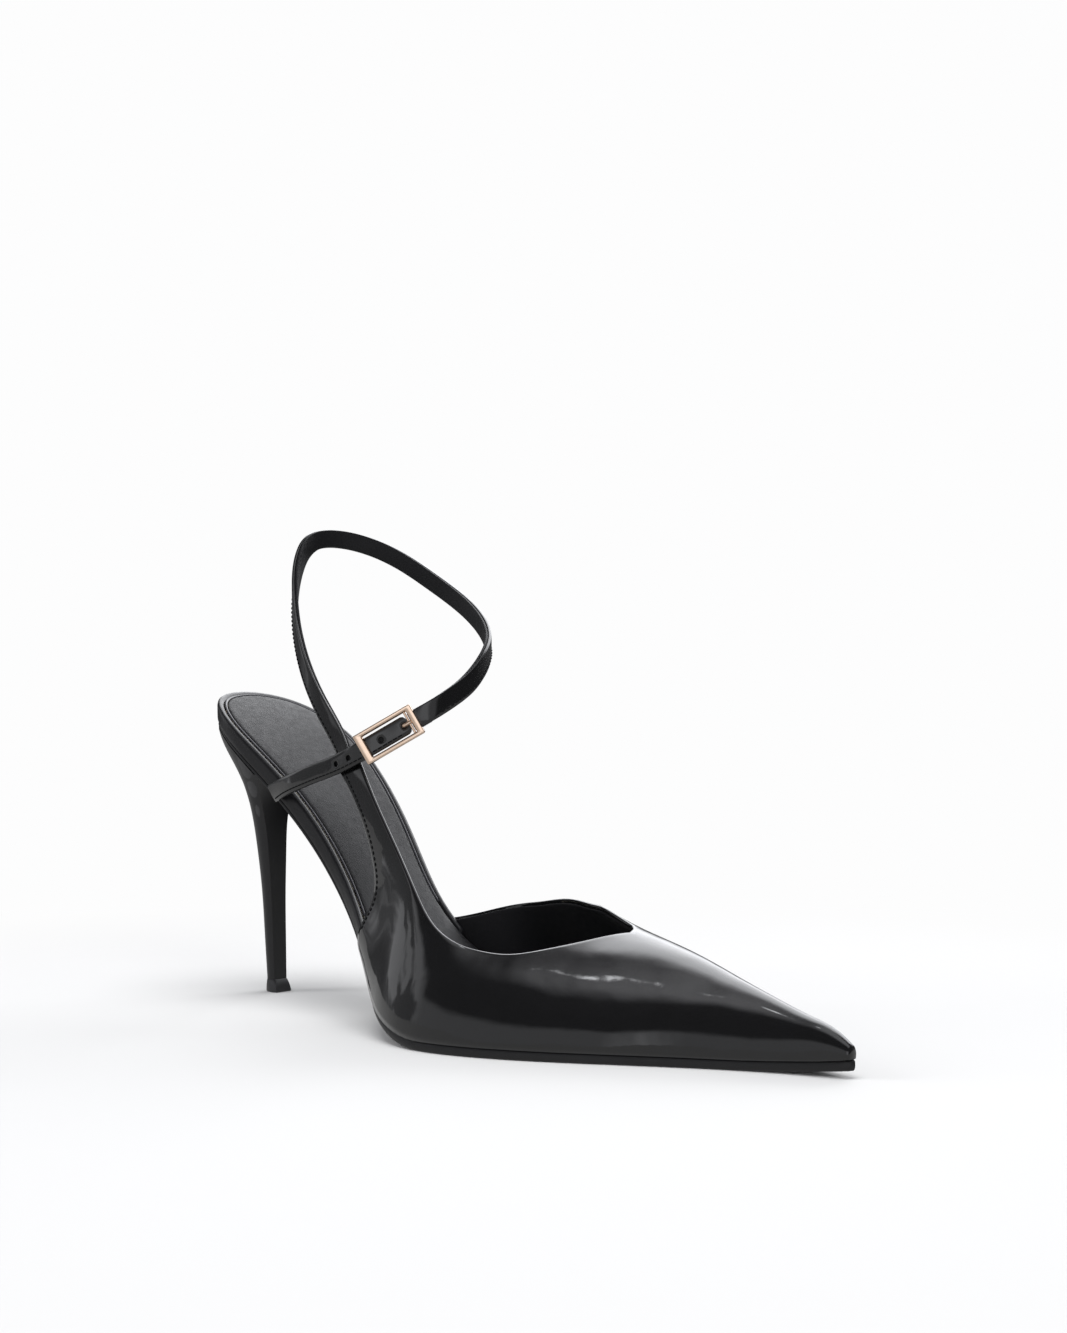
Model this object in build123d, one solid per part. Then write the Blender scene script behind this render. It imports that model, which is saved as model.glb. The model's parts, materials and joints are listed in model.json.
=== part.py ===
from build123d import *
import os
from math import cos, sin, radians

# Open-sided pointed stiletto with an ankle strap, for the right foot.  Millimetres.
# It is drawn from the back of the heel seat: +X runs to the toe, +Y to the inner
# side of the foot and +Z up, with Z = 0 on the ground.  save() then moves each piece
# so that the origin is the centre of the heel tip's ground face.

# ---- driving dimensions -------------------------------------------------------
shoe_length = 239.0        # back of the seat to the toe point
heel_tip_x = 13.4          # centre of the heel tip, ahead of the back of the seat
outsole_edge = 1.4         # outsole thickness under the waist and the seat
tread_extra = 1.4          # further outsole thickness under the forepart
rim_height = 5.0           # wrapped edge of the insole, above the outsole
rim_width = 2.5            # wrapped edge of the insole, seen from above
upper_thick = 1.2          # patent leather of the vamp
lining_thick = 0.8
gap = 0.06                 # clearance between neighbouring pieces
strap_width = 5.8
strap_layer = 0.9          # each strap is a patent layer on a lining layer
buckle_length = 19.6
buckle_width = 9.7
buckle_depth = 1.9

# ---- bottom profile and outline -----------------------------------------------
tread_start = 131.0        # the flat tread lies on the ground between these two
tread_end = 205.0
toe_lift = 2.2
# underside of the shank, from the back of the seat down to the ball
shank_points = [(0, 96.5), (19, 85.2), (37, 70.6), (55, 52.2), (73, 32.2),
                (92, 14.4), (110, 4.6), (tread_start, 0)]
seat_slope = -0.53
# half widths as (x, width), on the outer and the inner side of the foot
outer_side = [(5, 16.7), (20, 24.6), (38, 22.9), (57, 19.6), (76, 21.9), (92, 30.3), (108, 41.3),
              (126, 47.3), (146, 44.8), (170, 34.3), (196, 19.4), (220, 7.9)]
inner_side = [(5, 15.6), (22, 24.8), (44, 24.4), (62, 20.2), (80, 15.9), (96, 18.9), (112, 26.2),
              (128, 29.6), (146, 27.6), (170, 21.6), (196, 14.4), (220, 7.5)]
toe_radius = 2.4
outline_steps = 44
outline_crowding = 1.4     # above 1 the outline's points crowd towards the heel
centre_clear = 0.9         # least distance of the outline's points from the centre line
profile_steps = (26, 2, 5)
tread_blend = (92, 122)    # the outsole thickens from waist to forepart along this


def underside():
    """Edges of the underside in the XZ plane, from the back of the seat to the toe."""
    shank = Spline([(x, 0, z) for x, z in shank_points],
                   tangents=[(1, 0, seat_slope), (1, 0, 0)])
    tread = Line((tread_start, 0, 0), (tread_end, 0, 0))
    toe = Spline([(tread_end, 0, 0), (shoe_length, 0, toe_lift)],
                 tangents=[(1, 0, 0), (1, 0, 0.13)])
    return shank, tread, toe


def profile(extra):
    """Points of the curve that runs above the outsole's top face by extra.
    An extra of None is the underside itself."""
    points = []
    for edge, steps in zip(underside(), profile_steps):
        for i in range(steps):
            base = edge.position_at(i / steps)
            run = edge.tangent_at(i / steps)
            t = min(max((base.X - tread_blend[0]) / (tread_blend[1] - tread_blend[0]), 0), 1)
            sole = outsole_edge + tread_extra * t * t * (3 - 2 * t)
            d = 0 if extra is None else sole + extra
            points.append((base.X - run.Z * d, base.Z + run.X * d))
    d = 0 if extra is None else outsole_edge + tread_extra + extra
    points.append((shoe_length, toe_lift + d))
    first, last = points[0], points[-1]
    start = (first[0] - 12, first[1] - 12 * seat_slope)
    return [start] + points + [(last[0] + 10, last[1] + 1.3)]


def side_prism(points):
    """A prism across the whole foot from a closed outline of (x, z) points."""
    face = Face(Wire(Polyline([(x, -90, z) for x, z in points], close=True)))
    return extrude(face, amount=180, dir=(0, 1, 0))


def slab(low, high):
    """Everything between two heights above the outsole's top face."""
    return side_prism(profile(low) + profile(high)[::-1])


def above(extra):
    """Everything over a height above the outsole's top face."""
    points = profile(extra)
    return side_prism(points + [(points[-1][0], 220), (points[0][0], 220)])


def side_points(side, sign, inset=0.0):
    """One side of the bottom outline, moved inwards by inset along its normals."""
    points = [(0, 0)] + [(x, sign * w) for x, w in side]
    points.append((shoe_length - toe_radius, sign * toe_radius))
    to_tip = (Vector(*points[-1]) - Vector(*points[-2])).normalized()
    edge = Spline(points, tangents=[(0, sign), (to_tip.X, to_tip.Y)], tangent_scalars=(1, 1))
    moved = []
    for i in range(outline_steps + 1):
        t = (i / outline_steps) ** outline_crowding
        at = edge.position_at(t)
        run = edge.tangent_at(t)
        point = (at.X + sign * run.Y * inset, at.Y - sign * run.X * inset)
        if sign * point[1] > centre_clear and (not moved or point[0] > moved[-1][0]):
            moved.append(point)
    return moved


def outline(inset=0.0):
    """Bottom outline as an upright prism, drawn in by inset all round."""
    outer = side_points(outer_side, -1, inset)
    inner = side_points(inner_side, 1, inset)
    nose = (max(outer[-1][0], inner[-1][0]) + min(toe_radius, inner[-1][1]), 0)
    face = Face(Wire(Polyline([(inset, 0)] + outer + [nose] + inner[::-1], close=True)))
    return Pos(0, 0, -20) * extrude(face, amount=150)


def between(x0, x1, y0=-90, y1=90, z0=-40, z1=220):
    """An upright box between limits."""
    return Pos((x0 + x1) / 2, (y0 + y1) / 2, (z0 + z1) / 2) * Box(x1 - x0, y1 - y0, z1 - z0)


def one(shape):
    """The largest solid of a result, which drops slivers left by a cut."""
    return max(shape.solids(), key=lambda s: s.volume)


def rod(x, y, z0, z1, radius):
    """An upright round bar."""
    return Pos(x, y, (z0 + z1) / 2) * Cylinder(radius, z1 - z0)


# ---- bottom stock ----------------------------------------------------------------
rim_front = 83.5           # ahead of this the insole edge is inside the upper
board_thick = 2.6
foam_thick = 1.3
sock_thick = 1.3
shank_width = 11.0
shank_start, shank_end = 34.0, 108.0
shank_thick = 1.1
shank_y = -2.0
filler_start, filler_end = 114.0, 214.0
filler_inset = 7.5
filler_thick = 1.1
rivet_radius = 1.3
rivet_places = [(42.0, shank_y), (98.0, shank_y)]
screw_x = 12.1             # screw, tube and dowel share the heel's upright axis
screw_radius = 1.9
screw_head_radius = 4.0
screw_point = 74.0
nail_radius = 0.8
nail_places = [(8.0, -8.0), (8.0, 8.0), (17.5, -9.5), (17.5, 9.5)]
nail_length = 8.0


def shank_cutter(extra):
    """The steel shank, or its pocket when extra is a clearance."""
    box = between(shank_start - extra, shank_end + extra,
                  shank_y - shank_width / 2 - extra, shank_y + shank_width / 2 + extra)
    return box & slab(gap, gap + shank_thick + extra)


def filler_cutter(extra):
    """The filler under the ball, or its pocket when extra is a clearance."""
    return outline(filler_inset - extra) & between(filler_start - extra, filler_end + extra) \
        & slab(gap, gap + filler_thick + extra)


def make_rivets():
    rods = [rod(x, y, 0, 110, rivet_radius) for x, y in rivet_places]
    return [one(r & slab(gap, board_thick)) for r in rods]


def make_screw():
    shaft = rod(screw_x, 0, screw_point, 96, screw_radius)
    head = rod(screw_x, 0, 60, 130, screw_head_radius) & slab(board_thick - 1.0, board_thick)
    return one((shaft & (between(0, 40) - above(board_thick))) + head)


def make_nails():
    nails = []
    for x, y in nail_places:
        top = one(rod(x, y, 40, 130, nail_radius) - above(board_thick))
        high = top.bounding_box().max.Z
        nails.append(one(top & between(0, 60, z0=high - nail_length)))
    return nails


def make_outsole(holes):
    sole = one(outline(0.5) & slab(None, 0))
    return one(sole - holes)


def make_rim_wrap():
    rear = outline() & between(-20, rim_front)
    return one((rear - outline(rim_width)) & slab(0.02, rim_height))


def make_board(holes):
    board = outline(rim_width + gap) & slab(gap, board_thick)
    return one(board - shank_cutter(gap) - filler_cutter(gap) - holes)


def make_piping():
    ring = outline(rim_width + 0.06) - outline(rim_width + 0.86)
    return one(ring & between(-20, rim_front - 4) & slab(rim_height - 0.6, rim_height + 0.2))


def make_foam():
    return one(outline(rim_width + 0.5) & slab(board_thick + gap, board_thick + foam_thick))


def make_sock():
    low = board_thick + foam_thick + gap
    return one(outline(rim_width + 0.95) & slab(low, low + sock_thick))


# ---- heel ------------------------------------------------------------------------
tip_height = 4.4
cover_thick = 0.5
# heel sections: height, back, front, width, hollow of the breast
heel_sections = [(tip_height, 9.9, 15.7, 5.4, 0.0),
                 (20, 8.7, 15.4, 5.8, 0.0), (34, 7.7, 15.1, 6.4, 0.0), (48, 5.9, 14.8, 7.8, 0.1),
                 (58, 4.4, 14.4, 9.6, 0.3), (66, 3.6, 14.6, 13.4, 1.0), (73, 3.2, 17.0, 20.5, 2.6),
                 (79, 2.7, 21.5, 30.0, 4.4), (85, 1.8, 26.0, 39.5, 6.0), (92, 0.8, 30.0, 46.0, 7.2),
                 (99, 0.5, 33.0, 48.0, 8.0)]


def heel_section(z, back, front, width, hollow, inset):
    """A round-backed outline with a flat or hollow breast, open to the toe side."""
    back, front, half = back + inset, front - inset, width / 2 - inset
    depth = front - back
    outer = [(front, -half), (back + depth * 0.42, -half * 0.99), (back, 0),
             (back + depth * 0.42, half * 0.99), (front, half)]
    side = Spline(outer)
    breast = ThreePointArc((front, half), (front - hollow - 0.02, 0), (front, -half))
    return Pos(0, 0, z) * Face(Wire([side, breast]))


def heel_body(inset, sections):
    return loft([heel_section(*s, inset) for s in sections], ruled=True)


def make_heel_cover():
    skin = heel_body(0, heel_sections) - heel_body(cover_thick, heel_sections)
    return one((skin - above(None)) & outline(0.3))


def make_heel_core():
    core = heel_body(cover_thick, heel_sections)
    core = core & between(-20, 60, z0=tip_height + 0.02)
    return one((core - above(None)) & outline(cover_thick + 0.3))


tube_radius, tube_bore = 1.6, 1.1
tube_top = 47.0
dowel_length = 12.0


def make_tube():
    return rod(screw_x, 0, tip_height + 0.1, tube_top, tube_radius) \
        - rod(screw_x, 0, 0, tube_top + 1, tube_bore)


def make_dowel():
    return rod(screw_x, 0, 1.8, tip_height + dowel_length, tube_bore)


def make_top_piece(dowel):
    low = heel_section(0, 9.3, 17.5, 6.6, 0.0, 0)
    high = heel_section(tip_height - 0.02, 9.8, 16.0, 5.6, 0.0, 0)
    return one(loft([low, high]) - dowel)


# ---- upper -----------------------------------------------------------------------
# Cross sections of the upper's outer face, as (y, z) from the outer side of the foot
# over the top to the inner side.  The foot of each wall follows the bottom outline.
upper_stations = [
    (74, [(-23, 36), (-26.0, 60), (-25.5, 84), (-2, 104), (20, 84), (21, 60), (17, 36)]),
    (86, [(-28, 25), (-27.5, 47), (-26.0, 80), (-2, 98), (20, 80), (21.5, 47), (17.0, 28)]),
    (98, [(-34.8, 15), (-30.8, 38), (-27.0, 72), (-1, 90), (21, 72), (24.2, 40), (21.0, 20)]),
    (110, [(-42.0, 11), (-35.0, 34), (-28.5, 60), (0, 77), (18, 60), (25.0, 35), (26.5, 13)]),
    (122, [(-46.2, 9), (-40.0, 26), (-30.0, 46), (0, 62), (15, 52), (24.3, 33), (29.4, 11)]),
    (136, [(-46.4, 8.5), (-41.5, 20), (-29.0, 33), (1, 49), (11, 45), (22.5, 30), (28.9, 10)]),
    (150, [(-42.6, 8.5), (-37.5, 18.5), (-25.0, 29), (2, 39.6), (10, 37.6), (20.0, 26), (26.3, 9)]),
    (168, [(-34.6, 8.2), (-29.5, 17), (-17.0, 27), (2, 32.6), (9, 31.2), (16.8, 21.5), (21.6, 8.5)]),
    (184, [(-25.8, 8), (-21.6, 15.5), (-12.0, 24), (2, 28.4), (8, 26.8), (14.0, 18), (17.4, 8)]),
    (200, [(-16.8, 7.8), (-13.6, 14.5), (-7.0, 20.5), (1.2, 23.2), (6, 21.7), (10.8, 14.8), (13, 7.6)]),
    (214, [(-10.2, 7.2), (-8.0, 12.5), (-3.8, 16.6), (0.8, 17.9), (4.4, 16.2), (7.6, 11.8), (8.9, 7)]),
    (226, [(-5.8, 6.8), (-4.6, 10.4), (-2.2, 12.9), (0.4, 13.6), (2.6, 12.7), (4.7, 9.9), (5.6, 6.7)]),
    (235, [(-3.2, 6.2), (-2.6, 8.6), (-1.2, 10.0), (0, 10.4), (1.2, 10.0), (2.6, 8.6), (3.2, 6.2)]),
    (238.6, [(-1.9, 5.6), (-1.6, 6.4), (-0.9, 7.0), (0, 7.2), (0.9, 7.0), (1.6, 6.4), (1.9, 5.6)]),
]
toe_wall_start = 235.5     # the upper is closed ahead of this
foot_depth = 1.5           # how far the walls are drawn below the outsole's top before trimming
section_steps = 14
# topline seen from the side, outer side of the foot from the strap down to the throat
strap_root = [(76.2, 77.6), (83.0, 81.8)]
outer_front_edge = [(86.0, 78.2), (95.6, 66), (106, 53.7), (116, 42.7), (125.3, 33.8)]
outer_collar = [(134, 28.9), (142, 27.0), (149, 26.6), (157, 28.2), (164, 30.4)]
throat = (169.5, 32.3)
inner_collar = [(161, 35.0), (148, 36.9), (131, 37.3), (113, 35.0), (98, 32.2), (84, 28.6)]
outer_rear_edge = [(84.3, 20), (87.3, 27.8), (91, 32.6), (94.2, 37.2), (95.5, 44.1),
                   (94, 50.6), (88.2, 63.2), (79.5, 74.4)]
edge_steps = 30


def half_width(side, x):
    """Half width of the bottom outline at x."""
    points = side_points(side, 1)
    for (x0, w0), (x1, w1) in zip(points, points[1:]):
        if x0 <= x <= x1:
            return w0 + (w1 - w0) * (x - x0) / (x1 - x0)
    return toe_radius


def sole_top(x):
    """Height of the outsole's top face at x."""
    points = profile(0)
    for (x0, z0), (x1, z1) in zip(points, points[1:]):
        if x0 <= x <= x1:
            return z0 + (z1 - z0) * (x - x0) / (x1 - x0)


def upper_section(x, points, thickness):
    """Closed section at x, drawn in by thickness all along its curve."""
    curve = Spline([(0, y, z) for y, z in points])
    inner = []
    for i in range(section_steps + 1):
        t = i / section_steps
        at = curve.position_at(t)
        run = curve.tangent_at(t)
        inner.append((x, at.Y - run.Z * -thickness, at.Z + run.Y * -thickness))
    arch = Spline(inner)
    return Face(Wire([arch, Line(inner[-1], inner[0])]))


def full_station(x, points):
    """Adds the foot of both walls, a little under the outsole's top face."""
    foot = sole_top(x) - foot_depth
    outer = half_width(outer_side, x)
    inner = half_width(inner_side, x)
    return [(-outer, foot)] + points + [(inner, foot)]


def upper_body(thickness):
    """Solid inside a surface that lies thickness inside the upper's outer face."""
    stations = upper_stations[:-1] if thickness else upper_stations
    return loft([upper_section(x, full_station(x, points), thickness) for x, points in stations])


def smooth(points):
    """Points along the spline through the given (x, z) points."""
    curve = Spline(points)
    return [(curve.position_at(i / edge_steps).X, curve.position_at(i / edge_steps).Y)
            for i in range(edge_steps + 1)]


def upper_keep():
    """What is left of the upper once the opening and the open back are cut away."""
    ahead = [(throat[0], 60), (250, 60), (250, -10)]
    front_line = outer_front_edge + outer_collar + [throat]
    outer = smooth(outer_rear_edge) + strap_root + smooth(front_line)
    inner = smooth([throat] + inner_collar)
    outer_side_prism = side_prism([(84.3, -10)] + outer + ahead)
    inner_side_prism = side_prism([(84.3, -10), (250, -10), (250, 60), (throat[0], 60)] + inner)
    return (outer_side_prism & between(0, 300, y1=0)) + (inner_side_prism & between(0, 300, y0=0))


puff_start = 206.0
puff_thick = 0.4


def make_upper():
    """Patent vamp with its strap panel, the lining inside it and the toe stiffener between."""
    keep = upper_keep() & above(0.02)
    stack = outline(rim_width) & slab(-3, rim_height + 0.6)
    face = upper_body(0)
    back = upper_body(upper_thick) & between(0, toe_wall_start)
    inside = upper_body(upper_thick + lining_thick) & between(0, toe_wall_start - lining_thick)
    stiff = upper_body(upper_thick + puff_thick)
    vamp = one(((face - back) & keep) - stack)
    puff = one(((back - stiff) & between(puff_start, toe_wall_start - 1.5) & above(0.3)) - stack)
    lining = one(((back - inside) & keep) - stack - puff)
    return vamp, lining, puff


# ---- straps ----------------------------------------------------------------------
# The ankle strap follows an upright oval round the ankle; angle 0 faces the toe.
ankle_centre = (72.5, -1.0)
ankle_axes = (35.5, 24.6)
loop_points = [(-79, 82.4), (-98, 96.2), (-120, 113), (-143, 131), (-160, 144), (-180, 151.6),
               (-203, 152.8), (-230, 148.7), (-260, 138.5), (-290, 127.6), (-315, 119), (-338, 112),
               (-352, 107.1)]
flex_angle, flex_height = -366.0, 102.0    # the loop's free end bends here
end_points = [(-380, 97.7)]
flex_gap = 1.0
buckle_centre = Vector(94.6, -22.5, 87.4)  # on the strap's outer face
buckle_turn = 38.3                         # heading of the buckle's length, from +X
buckle_rise = 29.9
along = Vector(cos(radians(buckle_rise)) * cos(radians(buckle_turn)),
               cos(radians(buckle_rise)) * sin(radians(buckle_turn)), sin(radians(buckle_rise)))
outward = Vector(sin(radians(buckle_turn)), -cos(radians(buckle_turn)), 0)
buckle_frame = Plane(origin=buckle_centre, x_dir=along, z_dir=outward)
anchor_points = [(42, -23.7, 69.2), (49, -25.9, 71.0), (57, -27.6, 73.0), (68, -28.4, 75.9),
                 (79.5, -28.3, 79.1)]
ribbon_steps = 30


def on_oval(angle, z):
    """Point of the ankle strap at a turn round the ankle and a height."""
    x = ankle_centre[0] + ankle_axes[0] * cos(radians(angle))
    y = ankle_centre[1] + ankle_axes[1] * sin(radians(angle))
    return Vector(x, y, z)


def at_buckle(x, w, n):
    """Place in the buckle's frame: along it, across it and out from the strap."""
    return buckle_frame.from_local_coords(Vector(x, w, n))


def ribbon(curve, side, low, high, start=0.0, end=1.0, steps=ribbon_steps):
    """Strap along curve, filling low to high outwards from the curve; side is 1 or -1."""
    sections = []
    for i in range(steps + 1):
        t = start + (end - start) * i / steps
        run = curve.tangent_at(t)
        out = Vector(run.Y, -run.X, 0).normalized() * side
        place = Plane(origin=curve.position_at(t) + out * ((low + high) / 2), x_dir=out, z_dir=run)
        sections.append(place * Rectangle(high - low, strap_width))
    return loft(sections, ruled=True)


fold_x, fold_n = 8.8, -1.45    # buckle pin, in the buckle's frame
pin_radius = 0.5
fold_bore = pin_radius + 0.05  # running clearance
fold_run = 1.6             # length of strap taken up by the fold
anchor_tip = 6.8           # where the anchor strap ends, in the buckle's frame
hole_places = [5.0, -3.0, -9.0, -14.6, -20.0]
hole_radius = 1.0


def barrel(x, n, radius, length):
    """Cylinder lying across the buckle."""
    return buckle_frame * (Pos(x, 0, n) * Rot(90, 0, 0) * Cylinder(radius, length))


def local_box(x0, x1, w0, w1, n0, n1):
    return buckle_frame * between(x0, x1, w0, w1, n0, n1)


def loop_curve():
    points = [on_oval(a, z) for a, z in loop_points] + [on_oval(flex_angle, flex_height)]
    return Spline(points)


def end_curve():
    points = [on_oval(flex_angle, flex_height)] + [on_oval(a, z) for a, z in end_points]
    points += [at_buckle(12.4, 0, -strap_layer), at_buckle(fold_x, 0, -strap_layer)]
    return Spline(points, tangents=[loop_curve().tangent_at(1), along * -1])


def anchor_curve():
    points = [Vector(*p) for p in anchor_points]
    points += [at_buckle(x, 0, -strap_layer) for x in (-9.0, -3.0, 2.0)]
    points += [at_buckle(anchor_tip, 0, -strap_layer)]
    return Spline(points)


def make_loop():
    """The fixed length of the ankle strap, from the panel round to the front of the ankle."""
    curve = loop_curve()
    stop = 1 - flex_gap / curve.length
    outer = ribbon(curve, -1, 0.01, strap_layer, 0, stop, 60)
    inner = ribbon(curve, -1, -strap_layer, -0.01, 0, stop, 60)
    return one(outer), one(inner)


def make_strap_end():
    """The strap's free end, turned round the buckle's pin."""
    curve = end_curve()
    inner_stop = 1 - fold_run / curve.length
    fold = barrel(fold_x, fold_n, -fold_n, strap_width) - barrel(fold_x, fold_n, fold_bore, 20)
    outer = ribbon(curve, -1, 0.01, strap_layer) + fold
    outer = outer - barrel(fold_x, fold_n, fold_bore, 20)
    inner = ribbon(curve, -1, -strap_layer, -0.01, 0, inner_stop)
    inner = inner - barrel(fold_x, fold_n, 0.01 - fold_n, 20)
    return one(outer), one(inner)


def make_anchor():
    """The short strap from the heel seat to the buckle, with its row of holes."""
    curve = anchor_curve()
    outer = ribbon(curve, 1, 0.01, strap_layer)
    inner = ribbon(curve, 1, -strap_layer, -0.01)
    for x in hole_places:
        if x > -9.5:
            centre, out = at_buckle(x, 0, 0), outward
        else:
            t = 1 - (anchor_tip - x) / curve.length
            run = curve.tangent_at(t)
            centre, out = curve.position_at(t), Vector(run.Y, -run.X, 0)
        hole = Plane(origin=centre, z_dir=out) * Cylinder(hole_radius, 8)
        outer, inner = outer - hole, inner - hole
    return one(outer), one(inner)


# ---- buckle ------------------------------------------------------------------------
frame_base = 0.3           # underside of the frame, out from the strap's face
left_bar, right_bar, rail = 2.5, 2.0, 1.05
prong_pin_x, prong_pin_n = 7.1, 1.1
prong_pin_radius = 0.36
prong_bore = prong_pin_radius + 0.06   # running clearance
prong_eye = 0.8
prong_half = 0.5
prong_tip_x = hole_places[0]
lug_inner, lug_outer = 3.1, 4.3        # the lugs carry the pin at both sides of the strap
window_slot = 0.7                      # half width of the prong's slot in the right bar


def make_buckle():
    """Rectangular frame; its right bar is chamfered below so that the frame can tip."""
    half_l, half_w = buckle_length / 2, buckle_width / 2
    body = local_box(-half_l, half_l, -half_w, half_w, frame_base, frame_base + buckle_depth)
    window = local_box(left_bar - half_l, half_l - right_bar, rail - half_w, half_w - rail, -5, 9)
    chamfer_profile = Polyline([(half_l - 1.0, frame_base - 0.01), (half_l + 0.01, frame_base - 0.01),
                                (half_l + 0.01, frame_base + 0.9)], close=True)
    wedge = extrude(Rot(90, 0, 0) * Face(Wire(chamfer_profile)), amount=8, both=True)
    body = body - window - buckle_frame * wedge
    body = body - local_box(0, prong_pin_x + prong_eye + 0.1, -window_slot, window_slot, -5, 9)
    for w0, w1 in ((-lug_outer, -lug_inner), (lug_inner, lug_outer)):
        body = body + local_box(fold_x - 0.9, fold_x + 0.7, w0, w1, fold_n - 0.9, frame_base + 0.5)
    body = body - barrel(fold_x, fold_n, pin_radius, 8.6)
    body = body - barrel(prong_pin_x, prong_pin_n, prong_pin_radius, 8.8)
    return one(body)


def make_prong():
    """Short prong: an eye on its pin, an arm and a tip that goes down into the last hole."""
    eye = barrel(prong_pin_x, prong_pin_n, prong_eye, prong_half * 2)
    arm = local_box(prong_tip_x - 0.4, prong_pin_x, -prong_half, prong_half,
                    prong_pin_n - 0.1, prong_pin_n + 0.7)
    tip = local_box(prong_tip_x - 0.4, prong_tip_x + 0.4, -prong_half, prong_half,
                    -0.7, prong_pin_n + 0.6)
    return one(eye + arm + tip - barrel(prong_pin_x, prong_pin_n, prong_bore, 20))


# ---- assembly ------------------------------------------------------------------------
def save(name, shape):
    """Moves a piece, or a group of separate pieces, to the row frame and writes it."""
    solids = shape if isinstance(shape, list) else shape.solids()
    moved = [Pos(-heel_tip_x, 0, 0) * s for s in solids]
    export_step(moved[0] if len(moved) == 1 else Compound(children=moved), f"parts/{name}.step")


def main():
    os.makedirs("parts", exist_ok=True)
    rivets, screw, nails = make_rivets(), make_screw(), make_nails()
    fixings = Compound(children=[s for s in rivets + nails] + [screw])
    board = make_board(fixings)
    tube, dowel = make_tube(), make_dowel()
    core = make_heel_core()
    cover = make_heel_cover()
    inside_heel = rod(screw_x, 0, tip_height, tube_top, tube_radius)
    vamp, lining, puff = make_upper()
    loop, end, anchor = make_loop(), make_strap_end(), make_anchor()
    save("outsole", make_outsole(fixings))
    save("insole_rim_wrap", make_rim_wrap())
    save("insole_board", board)
    save("steel_shank", one(shank_cutter(0) - fixings))
    save("shank_rivets", rivets)
    save("bottom_filler", filler_cutter(0))
    save("sock_foam", make_foam())
    save("sock_lining", make_sock())
    save("sock_piping", make_piping())
    save("heel_core", one(core - inside_heel - fixings))
    save("heel_cover", cover)
    save("heel_tube", tube)
    save("top_piece", make_top_piece(dowel))
    save("top_piece_dowel", dowel)
    save("heel_screw", screw)
    save("heel_nails", nails)
    save("vamp", vamp)
    save("vamp_lining", lining)
    save("toe_puff", puff)
    save("ankle_strap", loop[0])
    save("ankle_strap_lining", loop[1])
    save("strap_end", end[0])
    save("strap_end_lining", end[1])
    save("anchor_strap", anchor[0])
    save("anchor_strap_lining", anchor[1])
    save("buckle_frame", make_buckle())
    save("buckle_pin", barrel(fold_x, fold_n, pin_radius, 8.6))
    save("prong_pin", barrel(prong_pin_x, prong_pin_n, prong_pin_radius, 8.8))
    save("buckle_prong", make_prong())


main()
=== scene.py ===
import json
import math

import bmesh
import bpy
import numpy as np
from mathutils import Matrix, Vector


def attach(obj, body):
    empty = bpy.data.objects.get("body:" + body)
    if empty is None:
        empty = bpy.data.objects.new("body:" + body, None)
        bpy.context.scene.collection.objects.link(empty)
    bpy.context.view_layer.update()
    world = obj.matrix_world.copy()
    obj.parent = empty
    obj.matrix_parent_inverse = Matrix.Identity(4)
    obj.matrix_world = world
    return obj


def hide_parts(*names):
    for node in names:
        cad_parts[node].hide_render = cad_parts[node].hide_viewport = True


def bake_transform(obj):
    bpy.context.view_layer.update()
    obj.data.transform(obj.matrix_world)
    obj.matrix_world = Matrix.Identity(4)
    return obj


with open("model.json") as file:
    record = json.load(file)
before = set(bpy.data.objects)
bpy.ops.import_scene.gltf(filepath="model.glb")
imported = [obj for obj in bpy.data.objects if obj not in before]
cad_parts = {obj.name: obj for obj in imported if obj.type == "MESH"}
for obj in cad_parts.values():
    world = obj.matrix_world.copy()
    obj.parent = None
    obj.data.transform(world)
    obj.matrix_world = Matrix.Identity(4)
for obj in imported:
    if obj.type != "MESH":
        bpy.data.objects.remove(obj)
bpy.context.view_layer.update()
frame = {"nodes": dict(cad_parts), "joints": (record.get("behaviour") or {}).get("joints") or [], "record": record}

# Lengths in the shape code are millimetres from the back of the heel seat: +X to the
# toe, +Y to the inner side of the foot, +Z up.  to_frame() turns them into the frame.
mounts = {m["name"]: m["pos_m"] for m in frame["record"]["mounts"]}
TREAD_X = 165.0
BACK = mounts["tread"][0] * 1000 - TREAD_X
LENGTH = 239.0
RIM_WIDTH = 2.5
RIM_HEIGHT = 5.0
UPPER_THICK = 1.15
LINING_THICK = 0.75
STRAP_WIDTH = 5.8
STRAP_LAYER = 0.9


def to_frame(p):
    p = np.asarray(p, float) + np.array([BACK, 0, 0])
    return p / 1000


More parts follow.
